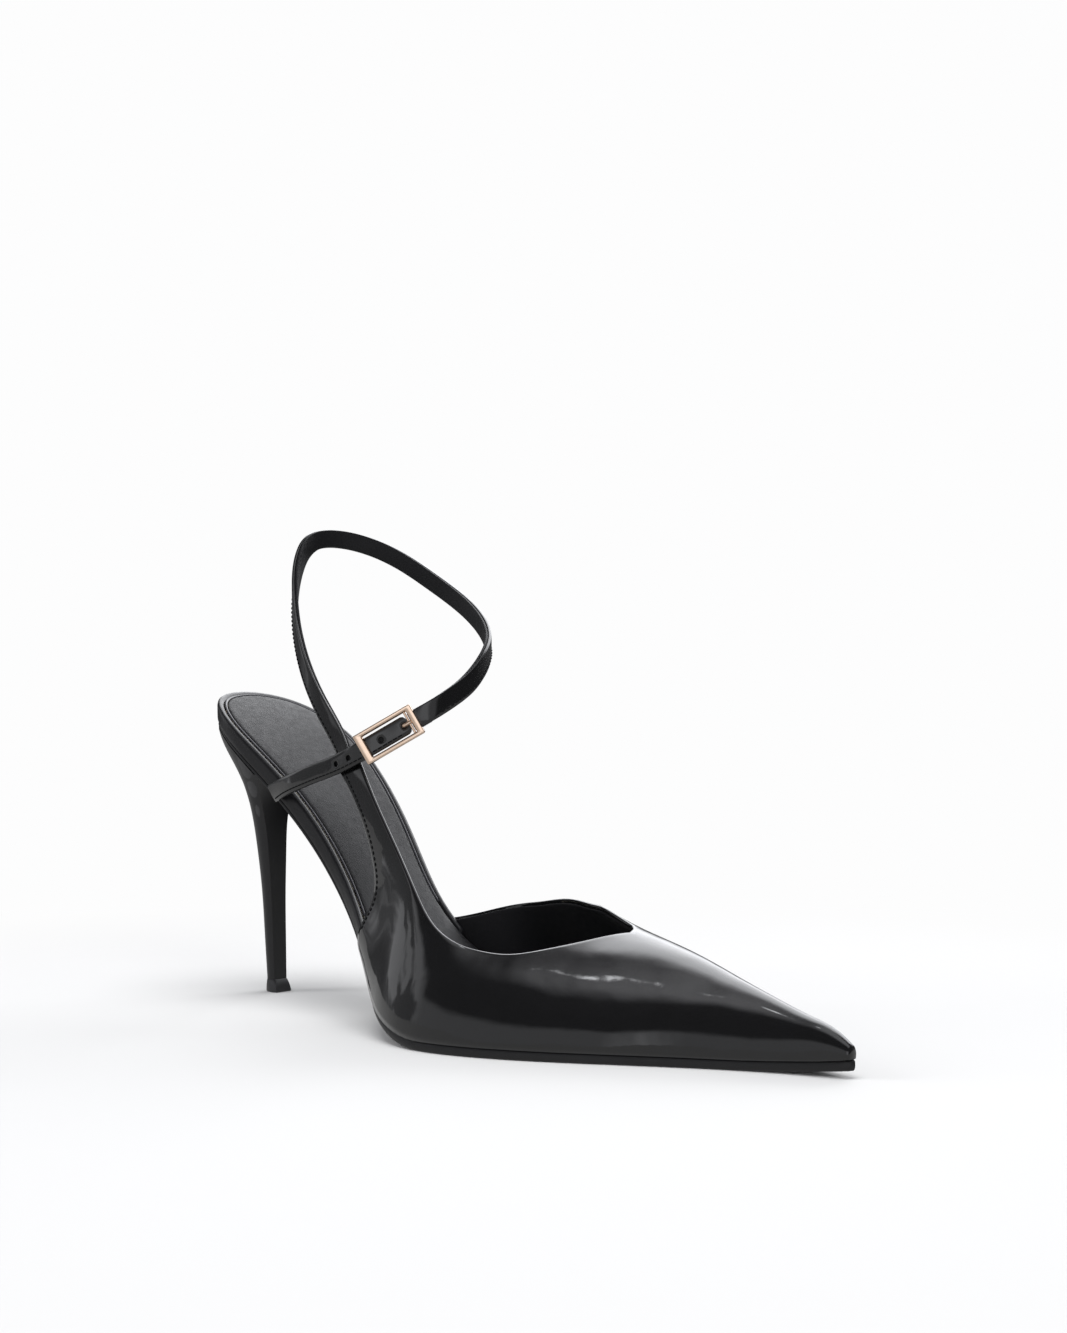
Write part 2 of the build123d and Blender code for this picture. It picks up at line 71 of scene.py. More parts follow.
# ---- curves ---------------------------------------------------------------------
def cubic(knots, values, at, start=None, end=None):
    """Smooth cubic through values at knots, natural or clamped at each end."""
    t = np.asarray(knots, float)
    p = np.asarray(values, float)
    flat = p.ndim == 1
    if flat:
        p = p[:, None]
    n = len(t)
    h = np.diff(t)
    slope = np.diff(p, axis=0) / h[:, None]
    a = np.zeros((n, n))
    b = np.zeros((n, p.shape[1]))
    for i in range(1, n - 1):
        a[i, i - 1:i + 2] = h[i - 1], 2 * (h[i - 1] + h[i]), h[i]
        b[i] = 6 * (slope[i] - slope[i - 1])
    a[0, 0] = a[-1, -1] = 1
    if start is not None:
        a[0, :2] = 2 * h[0], h[0]
        b[0] = 6 * (slope[0] - np.asarray(start, float))
    if end is not None:
        a[-1, -2:] = h[-1], 2 * h[-1]
        b[-1] = 6 * (np.asarray(end, float) - slope[-1])
    m = np.linalg.solve(a, b)
    at = np.clip(np.asarray(at, float), t[0], t[-1])
    i = np.clip(np.searchsorted(t, at, side="right") - 1, 0, n - 2)
    u = at - t[i]
    hi = h[i]
    s = u / hi
    out = (p[i] * (1 - s)[:, None] + p[i + 1] * s[:, None]
           + (((1 - s) ** 3 - (1 - s)) * hi ** 2 / 6)[:, None] * m[i]
           + ((s ** 3 - s) * hi ** 2 / 6)[:, None] * m[i + 1])
    return out[:, 0] if flat else out


def spline(points, at, start=None, end=None):
    """Curve through points; at runs 0 to 1 along the chords; start and end are directions."""
    p = np.asarray(points, float)
    t = np.concatenate([[0], np.cumsum(np.linalg.norm(np.diff(p, axis=0), axis=1))])
    size = t[-1]
    first = None if start is None else np.asarray(start, float) * size
    last = None if end is None else np.asarray(end, float) * size
    return cubic(t / size, p, at, first, last)


def even(curve, count):
    """Points at equal distances along a sampled curve."""
    d = np.concatenate([[0], np.cumsum(np.linalg.norm(np.diff(curve, axis=0), axis=1))])
    at = np.linspace(0, d[-1], count)
    return np.stack([np.interp(at, d, curve[:, k]) for k in range(curve.shape[1])], axis=1)


def arc_length(curve):
    return np.concatenate([[0], np.cumsum(np.linalg.norm(np.diff(curve, axis=0), axis=1))])


def unit(v):
    v = np.asarray(v, float)
    return v / np.maximum(np.linalg.norm(v, axis=-1, keepdims=True), 1e-12)


# ---- bottom profile and outline ----------------------------------------------------
shank_points = [(0, 96.5), (19, 85.2), (37, 70.6), (55, 52.2), (73, 32.2),
                (92, 14.4), (110, 4.6), (131, 0)]
SEAT_SLOPE = -0.53
TREAD_END = 205.0
TOE_LIFT = 2.2
OUTSOLE_EDGE, TREAD_EXTRA = 1.4, 1.4
TREAD_BLEND = (92, 122)
outer_side = [(5, 16.7), (20, 24.6), (38, 22.9), (57, 19.6), (76, 21.9), (92, 30.3), (108, 41.3),
              (126, 47.3), (146, 44.8), (170, 34.3), (196, 19.4), (220, 7.9)]
inner_side = [(5, 15.6), (22, 24.8), (44, 24.4), (62, 20.2), (80, 15.9), (96, 18.9), (112, 26.2),
              (128, 29.6), (146, 27.6), (170, 21.6), (196, 14.4), (220, 7.5)]
TOE_RADIUS = 2.4


def underside():
    shank = spline(shank_points, np.linspace(0, 1, 160), (1, SEAT_SLOPE), (1, 0))
    tread = np.array([[x, 0.0] for x in np.linspace(133, TREAD_END, 20)])
    toe = spline([(TREAD_END, 0), (LENGTH, TOE_LIFT)], np.linspace(0.04, 1, 24), (1, 0), (1, 0.13))
    return np.vstack([shank, tread, toe])


BASE = underside()
RUN = unit(np.gradient(BASE, axis=0))
BLEND = np.clip((BASE[:, 0] - TREAD_BLEND[0]) / (TREAD_BLEND[1] - TREAD_BLEND[0]), 0, 1)
SOLE = OUTSOLE_EDGE + TREAD_EXTRA * BLEND * BLEND * (3 - 2 * BLEND)


def height(x, extra):
    """Height of the layer that lies extra above the outsole's top face.  None: the underside."""
    d = np.zeros(len(BASE)) if extra is None else SOLE + extra
    px = BASE[:, 0] - RUN[:, 1] * d
    pz = BASE[:, 1] + RUN[:, 0] * d
    first = np.array([px[0] - 14, pz[0] - 14 * SEAT_SLOPE])
    px = np.concatenate([[first[0]], px, [px[-1] + 14]])
    pz = np.concatenate([[first[1]], pz, [pz[-1] + 14 * 0.13]])
    return np.interp(x, px, pz)


def side_curve(side, sign, count=110):
    tip = LENGTH - TOE_RADIUS
    points = [(0, 0)] + [(x, sign * w) for x, w in side] + [(tip, sign * TOE_RADIUS)]
    fine = spline(points, np.linspace(0, 1, 1200), (0, sign), (0.95, -0.31 * sign))
    nose = spline([(tip, sign * TOE_RADIUS), (LENGTH, 0)], np.linspace(0, 1, 40), (0.95, -0.31 * sign),
                  (0, -sign))
    fine = np.vstack([fine, nose[1:]])
    d = arc_length(fine)
    u = np.linspace(0, 1, count)
    u = u - 0.10 * np.sin(2 * np.pi * u) / np.pi
    at = u * d[-1]
    return np.stack([np.interp(at, d, fine[:, k]) for k in range(2)], axis=1)


SIDES = {-1: side_curve(outer_side, -1), 1: side_curve(inner_side, 1)}


def plan(inset):
    """Closed loop of the outline drawn in by inset: outer side to the toe, inner side back."""
    loops = []
    for sign in (-1, 1):
        p = SIDES[sign]
        run = unit(np.gradient(p, axis=0))
        normal = np.stack([sign * -run[:, 1], sign * run[:, 0]], axis=1)
        normal[0] = (-1, 0)
        normal[-1] = (1, 0)
        d = np.full(len(p), float(inset))
        limit = (np.abs(p[:, 1]) - 0.02) / np.maximum(np.abs(normal[:, 1]), 1e-3)
        d[1:-1] = np.minimum(d, np.maximum(limit, 0))[1:-1]
        q = p - normal * d[:, None]
        q[1:-1, 0] = np.minimum(q[1:-1, 0], q[-1, 0])
        q[1:-1, 0] = np.maximum(q[1:-1, 0], q[0, 0])
        loops.append(q)
    return np.vstack([loops[0], loops[1][-2:0:-1]])


def half_width(side_sign, x):
    p = SIDES[side_sign]
    return np.interp(x, p[:, 0], np.abs(p[:, 1]))


# ---- mesh helpers --------------------------------------------------------------------
def new_mesh(name, verts, faces, material, smooth=True, merge=None):
    """Mesh object from millimetre points."""
    mesh = bpy.data.meshes.new(name)
    mesh.from_pydata([tuple(v) for v in to_frame(verts)], [], faces)
    bm = bmesh.new()
    bm.from_mesh(mesh)
    if merge:
        bmesh.ops.remove_doubles(bm, verts=bm.verts, dist=merge / 1000)
        bmesh.ops.dissolve_degenerate(bm, dist=1e-7, edges=bm.edges)
    bmesh.ops.recalc_face_normals(bm, faces=bm.faces)
    bm.to_mesh(mesh)
    bm.free()
    mesh.polygons.foreach_set("use_smooth", [smooth] * len(mesh.polygons))
    obj = bpy.data.objects.new(name, mesh)
    bpy.context.scene.collection.objects.link(obj)
    mesh.materials.append(material)
    return obj


def sharpen(obj, degrees_limit=40):
    """Marks sharp edges above an angle, so that flat faces stay flat under smooth shading."""
    bm = bmesh.new()
    bm.from_mesh(obj.data)
    for e in bm.edges:
        if len(e.link_faces) == 2 and e.calc_face_angle(0) > math.radians(degrees_limit):
            e.smooth = False
    bm.to_mesh(obj.data)
    bm.free()
    return obj


def bridge(count, offset_a, offset_b, closed=True):
    """Quads between two rows of points."""
    last = count if closed else count - 1
    return [(offset_a + i, offset_a + (i + 1) % count, offset_b + (i + 1) % count, offset_b + i)
            for i in range(last)]


def ring_stack(rings, caps=(True, True)):
    """Vertices and faces for a stack of equal closed rings; caps are ladders across the ring."""
    n = len(rings[0])
    verts = np.vstack(rings)
    faces = []
    for k in range(len(rings) - 1):
        faces += bridge(n, k * n, (k + 1) * n)
    for flag, offset in ((caps[0], 0), (caps[1], (len(rings) - 1) * n)):
        if flag:
            half = n // 2
            for i in range(half):
                a, b = offset + i, offset + i + 1
                c, d = offset + (n - i - 1) % n, offset + (n - i) % n
                face = [a, b] if b == c else [a, b, c]
                if d != a and d != c:
                    face.append(d)
                if b == c:
                    face = [a, b, d] if d != a else []
                if len(face) > 2:
                    faces.append(tuple(face))
    return verts, faces


def drawn_in(ring, share):
    """The ring with each point moved towards its partner on the other side."""
    partner = np.roll(ring[::-1], 1, axis=0)
    middle = (ring + partner) / 2
    return middle + (ring - middle) * share


def layer_ring(inset, extra):
    p = plan(inset)
    return np.column_stack([p, height(p[:, 0], extra)])


def tube(path, radius, sides=10, closed=False, squash=1.0):
    """Round cord along a path of points; radius may vary from point to point."""
    p = np.asarray(path, float)
    if closed:
        run = unit(np.roll(p, -1, axis=0) - np.roll(p, 1, axis=0))
    else:
        run = unit(np.gradient(p, axis=0))
    radius = np.broadcast_to(radius, (len(p),))
    up = np.array([0.13, 0.21, 0.97])
    verts, faces = [], []
    side = np.cross(run[0], up)
    for k in range(len(p)):
        side = side - run[k] * np.dot(side, run[k])
        side = side / np.linalg.norm(side)
        top = np.cross(side, run[k])
        for j in range(sides):
            a = 2 * np.pi * j / sides
            verts.append(p[k] + radius[k] * (np.cos(a) * side + squash * np.sin(a) * top))
    for k in range(len(p) - (0 if closed else 1)):
        faces += bridge(sides, k * sides, ((k + 1) % len(p)) * sides)
    if not closed:
        faces.append(tuple(range(sides)))
        faces.append(tuple(range((len(p) - 1) * sides, len(p) * sides)))
    return verts, faces


def merge_parts(parts):
    verts, faces = [], []
    for v, f in parts:
        base = len(verts)
        verts.extend(list(v))
        faces.extend([tuple(i + base for i in face) for face in f])
    return verts, faces


# ---- materials --------------------------------------------------------------------------
def node_setup(name):
    mat = bpy.data.materials.new(name)
    mat.use_nodes = True
    tree = mat.node_tree
    bsdf = tree.nodes["Principled BSDF"]
    coord = tree.nodes.new("ShaderNodeTexCoord")
    return mat, tree, bsdf, coord.outputs["Object"]


def noise(tree, vector, scale, detail=4.0, rough=0.55):
    n = tree.nodes.new("ShaderNodeTexNoise")
    n.inputs["Scale"].default_value = scale
    n.inputs["Detail"].default_value = detail
    n.inputs["Roughness"].default_value = rough
    tree.links.new(vector, n.inputs["Vector"])
    return n.outputs["Fac"]


def voronoi(tree, vector, scale, feature="F1"):
    n = tree.nodes.new("ShaderNodeTexVoronoi")
    n.feature = feature
    n.inputs["Scale"].default_value = scale
    tree.links.new(vector, n.inputs["Vector"])
    return n.outputs["Distance"]


def ramp(tree, value, low, high, a, b):
    """Maps value from low..high to a..b."""
    n = tree.nodes.new("ShaderNodeMapRange")
    n.inputs["From Min"].default_value = low
    n.inputs["From Max"].default_value = high
    n.inputs["To Min"].default_value = a
    n.inputs["To Max"].default_value = b
    tree.links.new(value, n.inputs["Value"])
    return n.outputs["Result"]


def tint(tree, value, colour_a, colour_b):
    n = tree.nodes.new("ShaderNodeMix")
    n.data_type = "RGBA"
    n.inputs["A"].default_value = (*colour_a, 1)
    n.inputs["B"].default_value = (*colour_b, 1)
    tree.links.new(value, n.inputs["Factor"])
    return n.outputs["Result"]


def bump(tree, height_value, distance, strength=1.0, normal=None):
    n = tree.nodes.new("ShaderNodeBump")
    n.inputs["Strength"].default_value = strength
    n.inputs["Distance"].default_value = distance
    tree.links.new(height_value, n.inputs["Height"])
    if normal is not None:
        tree.links.new(normal, n.inputs["Normal"])
    return n.outputs["Normal"]


def patent(name="patent_leather_black"):
    """Lacquered leather: a mirror-like coat with slow waves over a matt black base."""
    mat, tree, bsdf, vec = node_setup(name)
    link = tree.links.new
    mottling = noise(tree, vec, 160, 5)
    link(tint(tree, mottling, (0.0009, 0.0009, 0.001), (0.0022, 0.0022, 0.0027)), bsdf.inputs["Base Color"])
    bsdf.inputs["Roughness"].default_value = 0.4
    bsdf.inputs["Specular IOR Level"].default_value = 0.1
    slow = bump(tree, noise(tree, vec, 26, 1.0, 0.35), 0.0016, 1.0)
    ripples = bump(tree, noise(tree, vec, 95, 1.5, 0.4), 0.00028, 1.0, slow)
    peel = bump(tree, noise(tree, vec, 900, 2), 0.00001, 0.6, ripples)
    link(peel, bsdf.inputs["Normal"])
    link(peel, bsdf.inputs["Coat Normal"])
    link(ramp(tree, noise(tree, vec, 300, 3), 0.3, 0.7, 0.02, 0.05), bsdf.inputs["Coat Roughness"])
    bsdf.inputs["Coat Weight"].default_value = 1.0
    bsdf.inputs["Coat IOR"].default_value = 1.65
    return mat


def leather(name, dark, light, rough, grain, depth, sheen=0.0, gloss=0.5):
    """Grained leather: small cells with finer pores, uneven gloss and colour."""
    mat, tree, bsdf, vec = node_setup(name)
    link = tree.links.new
    cells = voronoi(tree, vec, grain, "DISTANCE_TO_EDGE")
    pores = noise(tree, vec, grain * 2.6, 4)
    clouds = noise(tree, vec, 55, 4)
    link(tint(tree, clouds, dark, light), bsdf.inputs["Base Color"])
    link(ramp(tree, noise(tree, vec, grain * 0.4, 3), 0.3, 0.7, rough[0], rough[1]), bsdf.inputs["Roughness"])
    creases = bump(tree, ramp(tree, cells, 0.0, 0.12, 0, 1), depth, 0.5)
    fine = bump(tree, pores, depth * 0.5, 0.5, creases)
    link(fine, bsdf.inputs["Normal"])
    bsdf.inputs["Specular IOR Level"].default_value = gloss
    bsdf.inputs["Sheen Weight"].default_value = sheen
    bsdf.inputs["Sheen Roughness"].default_value = 0.4
    return mat


def metal(name, colour, worn, rough, brushed=0.0):
    """Plated metal with faint rubbing marks."""
    mat, tree, bsdf, vec = node_setup(name)
    link = tree.links.new
    bsdf.inputs["Metallic"].default_value = 1.0
    marks = noise(tree, vec, 700, 6, 0.7)
    link(tint(tree, ramp(tree, marks, 0.35, 0.75, 0, 1), colour, worn), bsdf.inputs["Base Color"])
    link(ramp(tree, noise(tree, vec, 1800, 3), 0.3, 0.7, rough[0], rough[1]), bsdf.inputs["Roughness"])
    link(bump(tree, noise(tree, vec, 2600, 2), 0.00001, 0.25 + brushed), bsdf.inputs["Normal"])
    return mat


def plastic(name, colour, light, rough, grain=1500):
    mat, tree, bsdf, vec = node_setup(name)
    link = tree.links.new
    link(tint(tree, noise(tree, vec, 220, 4), colour, light), bsdf.inputs["Base Color"])
    link(ramp(tree, noise(tree, vec, 500, 3), 0.3, 0.7, rough[0], rough[1]), bsdf.inputs["Roughness"])
    link(bump(tree, noise(tree, vec, grain, 3), 0.00004, 0.4), bsdf.inputs["Normal"])
    return mat


def thread_material():
    mat, tree, bsdf, vec = node_setup("thread_black")
    link = tree.links.new
    wave = tree.nodes.new("ShaderNodeTexWave")
    wave.inputs["Scale"].default_value = 900
    wave.inputs["Distortion"].default_value = 2.0
    link(vec, wave.inputs["Vector"])
    colour = tint(tree, wave.outputs["Fac"], (0.002, 0.002, 0.0025), (0.008, 0.008, 0.009))
    link(colour, bsdf.inputs["Base Color"])
    bsdf.inputs["Roughness"].default_value = 0.6
    bsdf.inputs["Specular IOR Level"].default_value = 0.15
    link(bump(tree, wave.outputs["Fac"], 0.00008, 0.6), bsdf.inputs["Normal"])
    return mat


PATENT = patent()
SATIN_DARK, SATIN_PALE = (0.003, 0.003, 0.0035), (0.006, 0.006, 0.007)
SATIN = leather("satin_leather_black", SATIN_DARK, SATIN_PALE, (0.28, 0.36), 1300, 0.00002)
HEEL = leather("heel_wrap_black", SATIN_DARK, SATIN_PALE, (0.3, 0.36), 2200, 0.000003)
SOCK = leather("sock_leather_black", (0.004, 0.004, 0.0046), (0.007, 0.007, 0.008), (0.42, 0.52),
               1100, 0.00006, 0.02, 0.22)
LINING = leather("lining_leather_black", (0.0035, 0.0035, 0.004), (0.006, 0.006, 0.007), (0.42, 0.52),
                 1400, 0.00004, 0.02, 0.25)
SOLE_LEATHER = leather("sole_black", (0.003, 0.003, 0.0035), (0.007, 0.007, 0.008), (0.4, 0.5), 500, 0.00004)
CORD = plastic("cord_black_gloss", (0.01, 0.01, 0.012), (0.03, 0.03, 0.035), (0.12, 0.2))
ROSE_GOLD = metal("rose_gold", (0.94, 0.70, 0.53), (0.99, 0.79, 0.64), (0.08, 0.16))
STEEL = metal("steel", (0.55, 0.56, 0.58), (0.7, 0.7, 0.72), (0.22, 0.35), 0.2)
BRASS = metal("brass", (0.72, 0.55, 0.28), (0.84, 0.68, 0.4), (0.25, 0.4), 0.2)
TIP = plastic("tip_plastic_black", (0.008, 0.008, 0.009), (0.02, 0.02, 0.022), (0.38, 0.5))
THREAD = thread_material()
FOAM = plastic("foam_cream", (0.6, 0.56, 0.45), (0.72, 0.68, 0.56), (0.8, 0.95), 900)
BOARD = plastic("fibreboard", (0.28, 0.2, 0.13), (0.42, 0.32, 0.22), (0.75, 0.9), 700)
CORK = plastic("cork_filler", (0.22, 0.14, 0.08), (0.4, 0.27, 0.16), (0.75, 0.9), 350)
CORE = plastic("heel_plastic_dark", (0.02, 0.02, 0.021), (0.035, 0.035, 0.037), (0.4, 0.5))
STIFF = plastic("stiffener_ivory", (0.6, 0.56, 0.48), (0.7, 0.66, 0.58), (0.6, 0.75))

for node, material in (("insole_board", BOARD), ("steel_shank", STEEL), ("shank_rivets", BRASS),
                       ("bottom_filler", CORK), ("sock_foam", FOAM), ("heel_core", CORE),
                       ("heel_tube", STEEL), ("top_piece_dowel", STEEL), ("heel_screw", STEEL),
                       ("heel_nails", STEEL), ("toe_puff", STIFF), ("buckle_pin", STEEL),
                       ("prong_pin", ROSE_GOLD)):
    cad = frame["nodes"][node]
    cad.data.materials.clear()
    cad.data.materials.append(material)


def finish_piece(obj, body, slot, *nodes):
    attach(obj, body)
    if nodes:
        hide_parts(*nodes)
    return obj


# ---- outsole, rim, piping, sock ------------------------------------------------------------
TOE_REACH = 1.0            # the sole stands a little ahead of the upper at the very toe


def make_outsole():
    """Thin sole with a soft edge; it thickens under the tread."""
    rings = []
    for inset, share in ((1.5, 0.0), (0.85, 0.02), (0.5, 0.18), (0.38, 0.5), (0.45, 0.84), (0.7, 0.98)):
        p = plan(inset)
        low, high = height(p[:, 0], None), height(p[:, 0], 0)
        p[:, 0] += TOE_REACH * np.clip((p[:, 0] - 226) / 12, 0, 1) ** 2
        rings.append(np.column_stack([p, low + (high - low) * share]))
    inner = []
    for share in (0.75, 0.45, 0.15):
        ring = drawn_in(rings[0], share)
        ring[:, 2] = height(ring[:, 0], None)
        inner.append(ring)
    verts, faces = ring_stack(inner[::-1] + rings)
    return new_mesh("outsole_leather", verts, faces, SOLE_LEATHER)


def section_sweep(name, sections, material, closed=True):
    """Closed mesh from equal sections; sections is (count, points, 3)."""
    count, size = sections.shape[0], sections.shape[1]
    faces = []
    for k in range(count - 1):
        faces += bridge(size, k * size, (k + 1) * size)
    if closed:
        faces.append(tuple(range(size)))
        faces.append(tuple(range((count - 1) * size, count * size)))
    return new_mesh(name, sections.reshape(-1, 3), faces, material)


def rear_path(front, inset=0.0):
    """Plan points from the outer waist round the back of the seat to the inner waist."""
    p = plan(inset)
    n = len(p)
    half = n // 2
    outer = [q for q in p[:half + 1] if q[0] <= front]
    inner = [q for q in p[:half:-1] if q[0] <= front]
    return np.array(outer[::-1] + inner)


RIM_FRONT = 84.5


def make_rim():
    """Leather turned over the insole's edge: a soft band with a rounded top and foot."""
    profile_points = [(0.9, 0.05), (0.25, 0.12), (0.02, 0.55), (-0.06, 1.6), (-0.1, 2.8), (-0.02, 3.8),
                      (0.22, 4.5), (0.7, 4.92), (1.3, 5.02), (1.9, 4.86), (2.3, 4.45), (2.46, 3.8),
                      (2.48, 2.4), (2.4, 0.4)]
    columns = []
    for inset, extra in profile_points:
        p = rear_path(RIM_FRONT + 6, max(inset, 0.0))
        base = rear_path(RIM_FRONT + 6, 0.0)
        count = 200
        q = even(base if inset <= 0 else p, count)
        columns.append(np.column_stack([q, height(q[:, 0], extra)]))
    sections = np.stack(columns, axis=1)
    return section_sweep("insole_rim_leather", sections, SATIN)


def make_piping():
    p = even(rear_path(RIM_FRONT - 2, RIM_WIDTH + 0.45), 220)
    path = np.column_stack([p, height(p[:, 0], RIM_HEIGHT - 0.25)])
    verts, faces = tube(path, 0.42, 8)
    return new_mesh("sock_edge_cord", verts, faces, CORD)


SOCK_INSET = RIM_WIDTH + 0.95
SOCK_LOW = 4.0
SOCK_TOP = 5.25


def make_sock():
    """Padded top cover: soft rounded edge and a crown that cloth pressure raises."""
    rings = []
    for inset, extra in ((0.5, SOCK_LOW), (0.12, SOCK_LOW + 0.15), (0.0, SOCK_LOW + 0.5),
                         (0.05, SOCK_LOW + 0.8), (0.3, SOCK_TOP - 0.22), (0.8, SOCK_TOP - 0.05),
                         (1.5, SOCK_TOP)):
        rings.append(layer_ring(SOCK_INSET + inset, extra))
    for share in (0.88, 0.76, 0.62, 0.48, 0.34, 0.2, 0.08):
        ring = drawn_in(rings[6], share)
        ring[:, 2] = height(ring[:, 0], SOCK_TOP)
        rings.append(ring)
    verts, faces = ring_stack(rings, caps=(False, True))
    base = np.vstack([drawn_in(rings[0], 0.5), drawn_in(rings[0], 0.02)])
    base[:, 2] = height(base[:, 0], SOCK_LOW)
    n = len(rings[0])
    start = len(verts)
    verts = np.vstack([verts, base])
    faces += bridge(n, 0, start) + bridge(n, start, start + n)
    obj = new_mesh("sock_padded_leather", verts, faces, SOCK, merge=0.004)
    puff_up(obj)
    return obj


def puff_up(obj):
    """Runs a short cloth simulation with inner pressure and keeps a small, capped part of it."""
    rest = np.array([v.co for v in obj.data.vertices])
    extra_rest = rest[:, 2] * 1000 - height(rest[:, 0] * 1000 - BACK, SOCK_LOW)
    pins = obj.vertex_groups.new(name="pins")
    for i, extra in enumerate(extra_rest):
        if extra < 0.9:
            pins.add([i], 1.0, "REPLACE")
    copy = obj.copy()
    copy.data = obj.data.copy()
    bpy.context.scene.collection.objects.link(copy)
    cloth = copy.modifiers.new("cloth", "CLOTH")
    cloth.settings.quality = 6
    cloth.settings.mass = 0.2
    cloth.settings.tension_stiffness = 30
    cloth.settings.compression_stiffness = 30
    cloth.settings.bending_stiffness = 4
    cloth.settings.use_pressure = True
    cloth.settings.uniform_pressure_force = 4.0
    cloth.settings.effector_weights.gravity = 0.0
    cloth.settings.vertex_group_mass = "pins"
    cloth.collision_settings.use_collision = False
    cloth.point_cache.frame_start = 1
    cloth.point_cache.frame_end = 20
    scene = bpy.context.scene
    for f in range(1, 21):
        scene.frame_set(f)
    graph = bpy.context.evaluated_depsgraph_get()
    solved = copy.evaluated_get(graph)
    moved = np.array([v.co for v in solved.data.vertices])
    scene.frame_set(1)
    bpy.data.objects.remove(copy)
    shift = moved - rest
    size = np.linalg.norm(shift, axis=1, keepdims=True)
    cap = 0.0009
    soft = np.where(size > 0, cap * np.tanh(size / cap) / np.maximum(size, 1e-12), 0)
    new = rest + shift * soft
    for v, co in zip(obj.data.vertices, new):
        v.co = co
    obj.vertex_groups.clear()


# ---- heel ------------------------------------------------------------------------------------
heel_rows = [(4.4, 9.9, 15.7, 5.4, 0.0), (20, 8.7, 15.4, 5.8, 0.0), (34, 7.7, 15.1, 6.4, 0.0),
             (48, 5.9, 14.8, 7.8, 0.1), (58, 4.4, 14.4, 9.6, 0.3), (66, 3.6, 14.6, 13.4, 1.0),
             (73, 3.2, 17.0, 20.5, 2.6), (79, 2.7, 21.5, 30.0, 4.4), (85, 1.8, 26.0, 39.5, 6.0),
             (92, 0.8, 30.0, 46.0, 7.2), (99, 0.5, 33.0, 48.0, 8.0)]


def heel_ring(z, back, front, width, hollow, inset=0.0, count=26):
    """Round back, flat sides that meet the breast in a soft corner, slightly hollow breast."""
    back, front, half = back + inset, front - inset, width / 2 - inset
    depth = front - back
    side = spline([(front, -half), (back + depth * 0.42, -half * 0.99), (back, 0),
                   (back + depth * 0.42, half * 0.99), (front, half)], np.linspace(0, 1, 200))
    side = even(side, count + 1)
    y = np.linspace(half, -half, 13)[1:-1]
    breast = np.column_stack([front - hollow * (1 - (y / half) ** 2), y])
    loop = np.vstack([side, breast])
    wall = np.where(loop[:, 1] < 0, half_width(-1, np.maximum(loop[:, 0], 0.3)),
                    half_width(1, np.maximum(loop[:, 0], 0.3))) - 0.4
    loop[:, 1] = np.sign(loop[:, 1]) * np.minimum(np.abs(loop[:, 1]), np.maximum(wall, 0.03))
    return np.column_stack([loop, np.full(len(loop), z)])


def make_heel():
    """Leather-covered stiletto: its top follows the seat, its neck flares smoothly."""
    rows = np.array(heel_rows)
    z = np.concatenate([np.linspace(4.4, 60, 28), np.linspace(62, 97, 26)])
    table = cubic(rows[:, 0], rows[:, 1:], z)
    rings = [heel_ring(zz, *t) for zz, t in zip(z, table)]
    rings[0] = heel_ring(4.42, *table[0])
    ceiling = [height(r[:, 0], None) - 0.04 for r in rings]
    rings = [np.column_stack([r[:, :2], np.minimum(r[:, 2], c)]) for r, c in zip(rings, ceiling)]
    low = heel_ring(4.42, *table[0], inset=0.35)
    low = np.column_stack([low[:, :2], low[:, 2]])
    stack = [low] + rings
    n = len(low)
    faces = []
    for k in range(len(stack) - 1):
        faces += bridge(n, k * n, (k + 1) * n)
    top = stack[-1]
    centre = top.mean(axis=0)
    verts = list(np.vstack(stack))
    for share in (0.6, 0.2):
        ring = centre + (top - centre) * share
        ring[:, 2] = height(ring[:, 0], None) - 0.04
        faces += bridge(n, len(verts) - n, len(verts))
        verts.extend(list(ring))
    faces.append(tuple(range(len(verts) - n, len(verts))))
    faces.append(tuple(range(n)))
    obj = new_mesh("heel_cover_leather", np.array(verts), faces, HEEL, merge=0.003)
    return sharpen(obj, 50)


def make_tip():
    """Flared top piece with a small worn radius at the ground."""
    def loop(z, back, front, width, inset=0.0):
        return heel_ring(z, back, front, width, 0.0, inset)
    stack = [loop(0.0, 9.3, 17.5, 6.6, 0.45), loop(0.12, 9.3, 17.5, 6.6, 0.12), loop(0.5, 9.32, 17.46, 6.56),
             loop(2.4, 9.45, 16.9, 6.15), loop(4.2, 9.8, 16.0, 5.6), loop(4.38, 9.8, 16.0, 5.6, 0.2)]
    n = len(stack[0])
    faces = []
    for k in range(len(stack) - 1):
        faces += bridge(n, k * n, (k + 1) * n)
    faces.append(tuple(range(n)))
    faces.append(tuple(range((len(stack) - 1) * n, len(stack) * n)))
    return sharpen(new_mesh("heel_tip_plastic", np.vstack(stack), faces, TIP), 60)


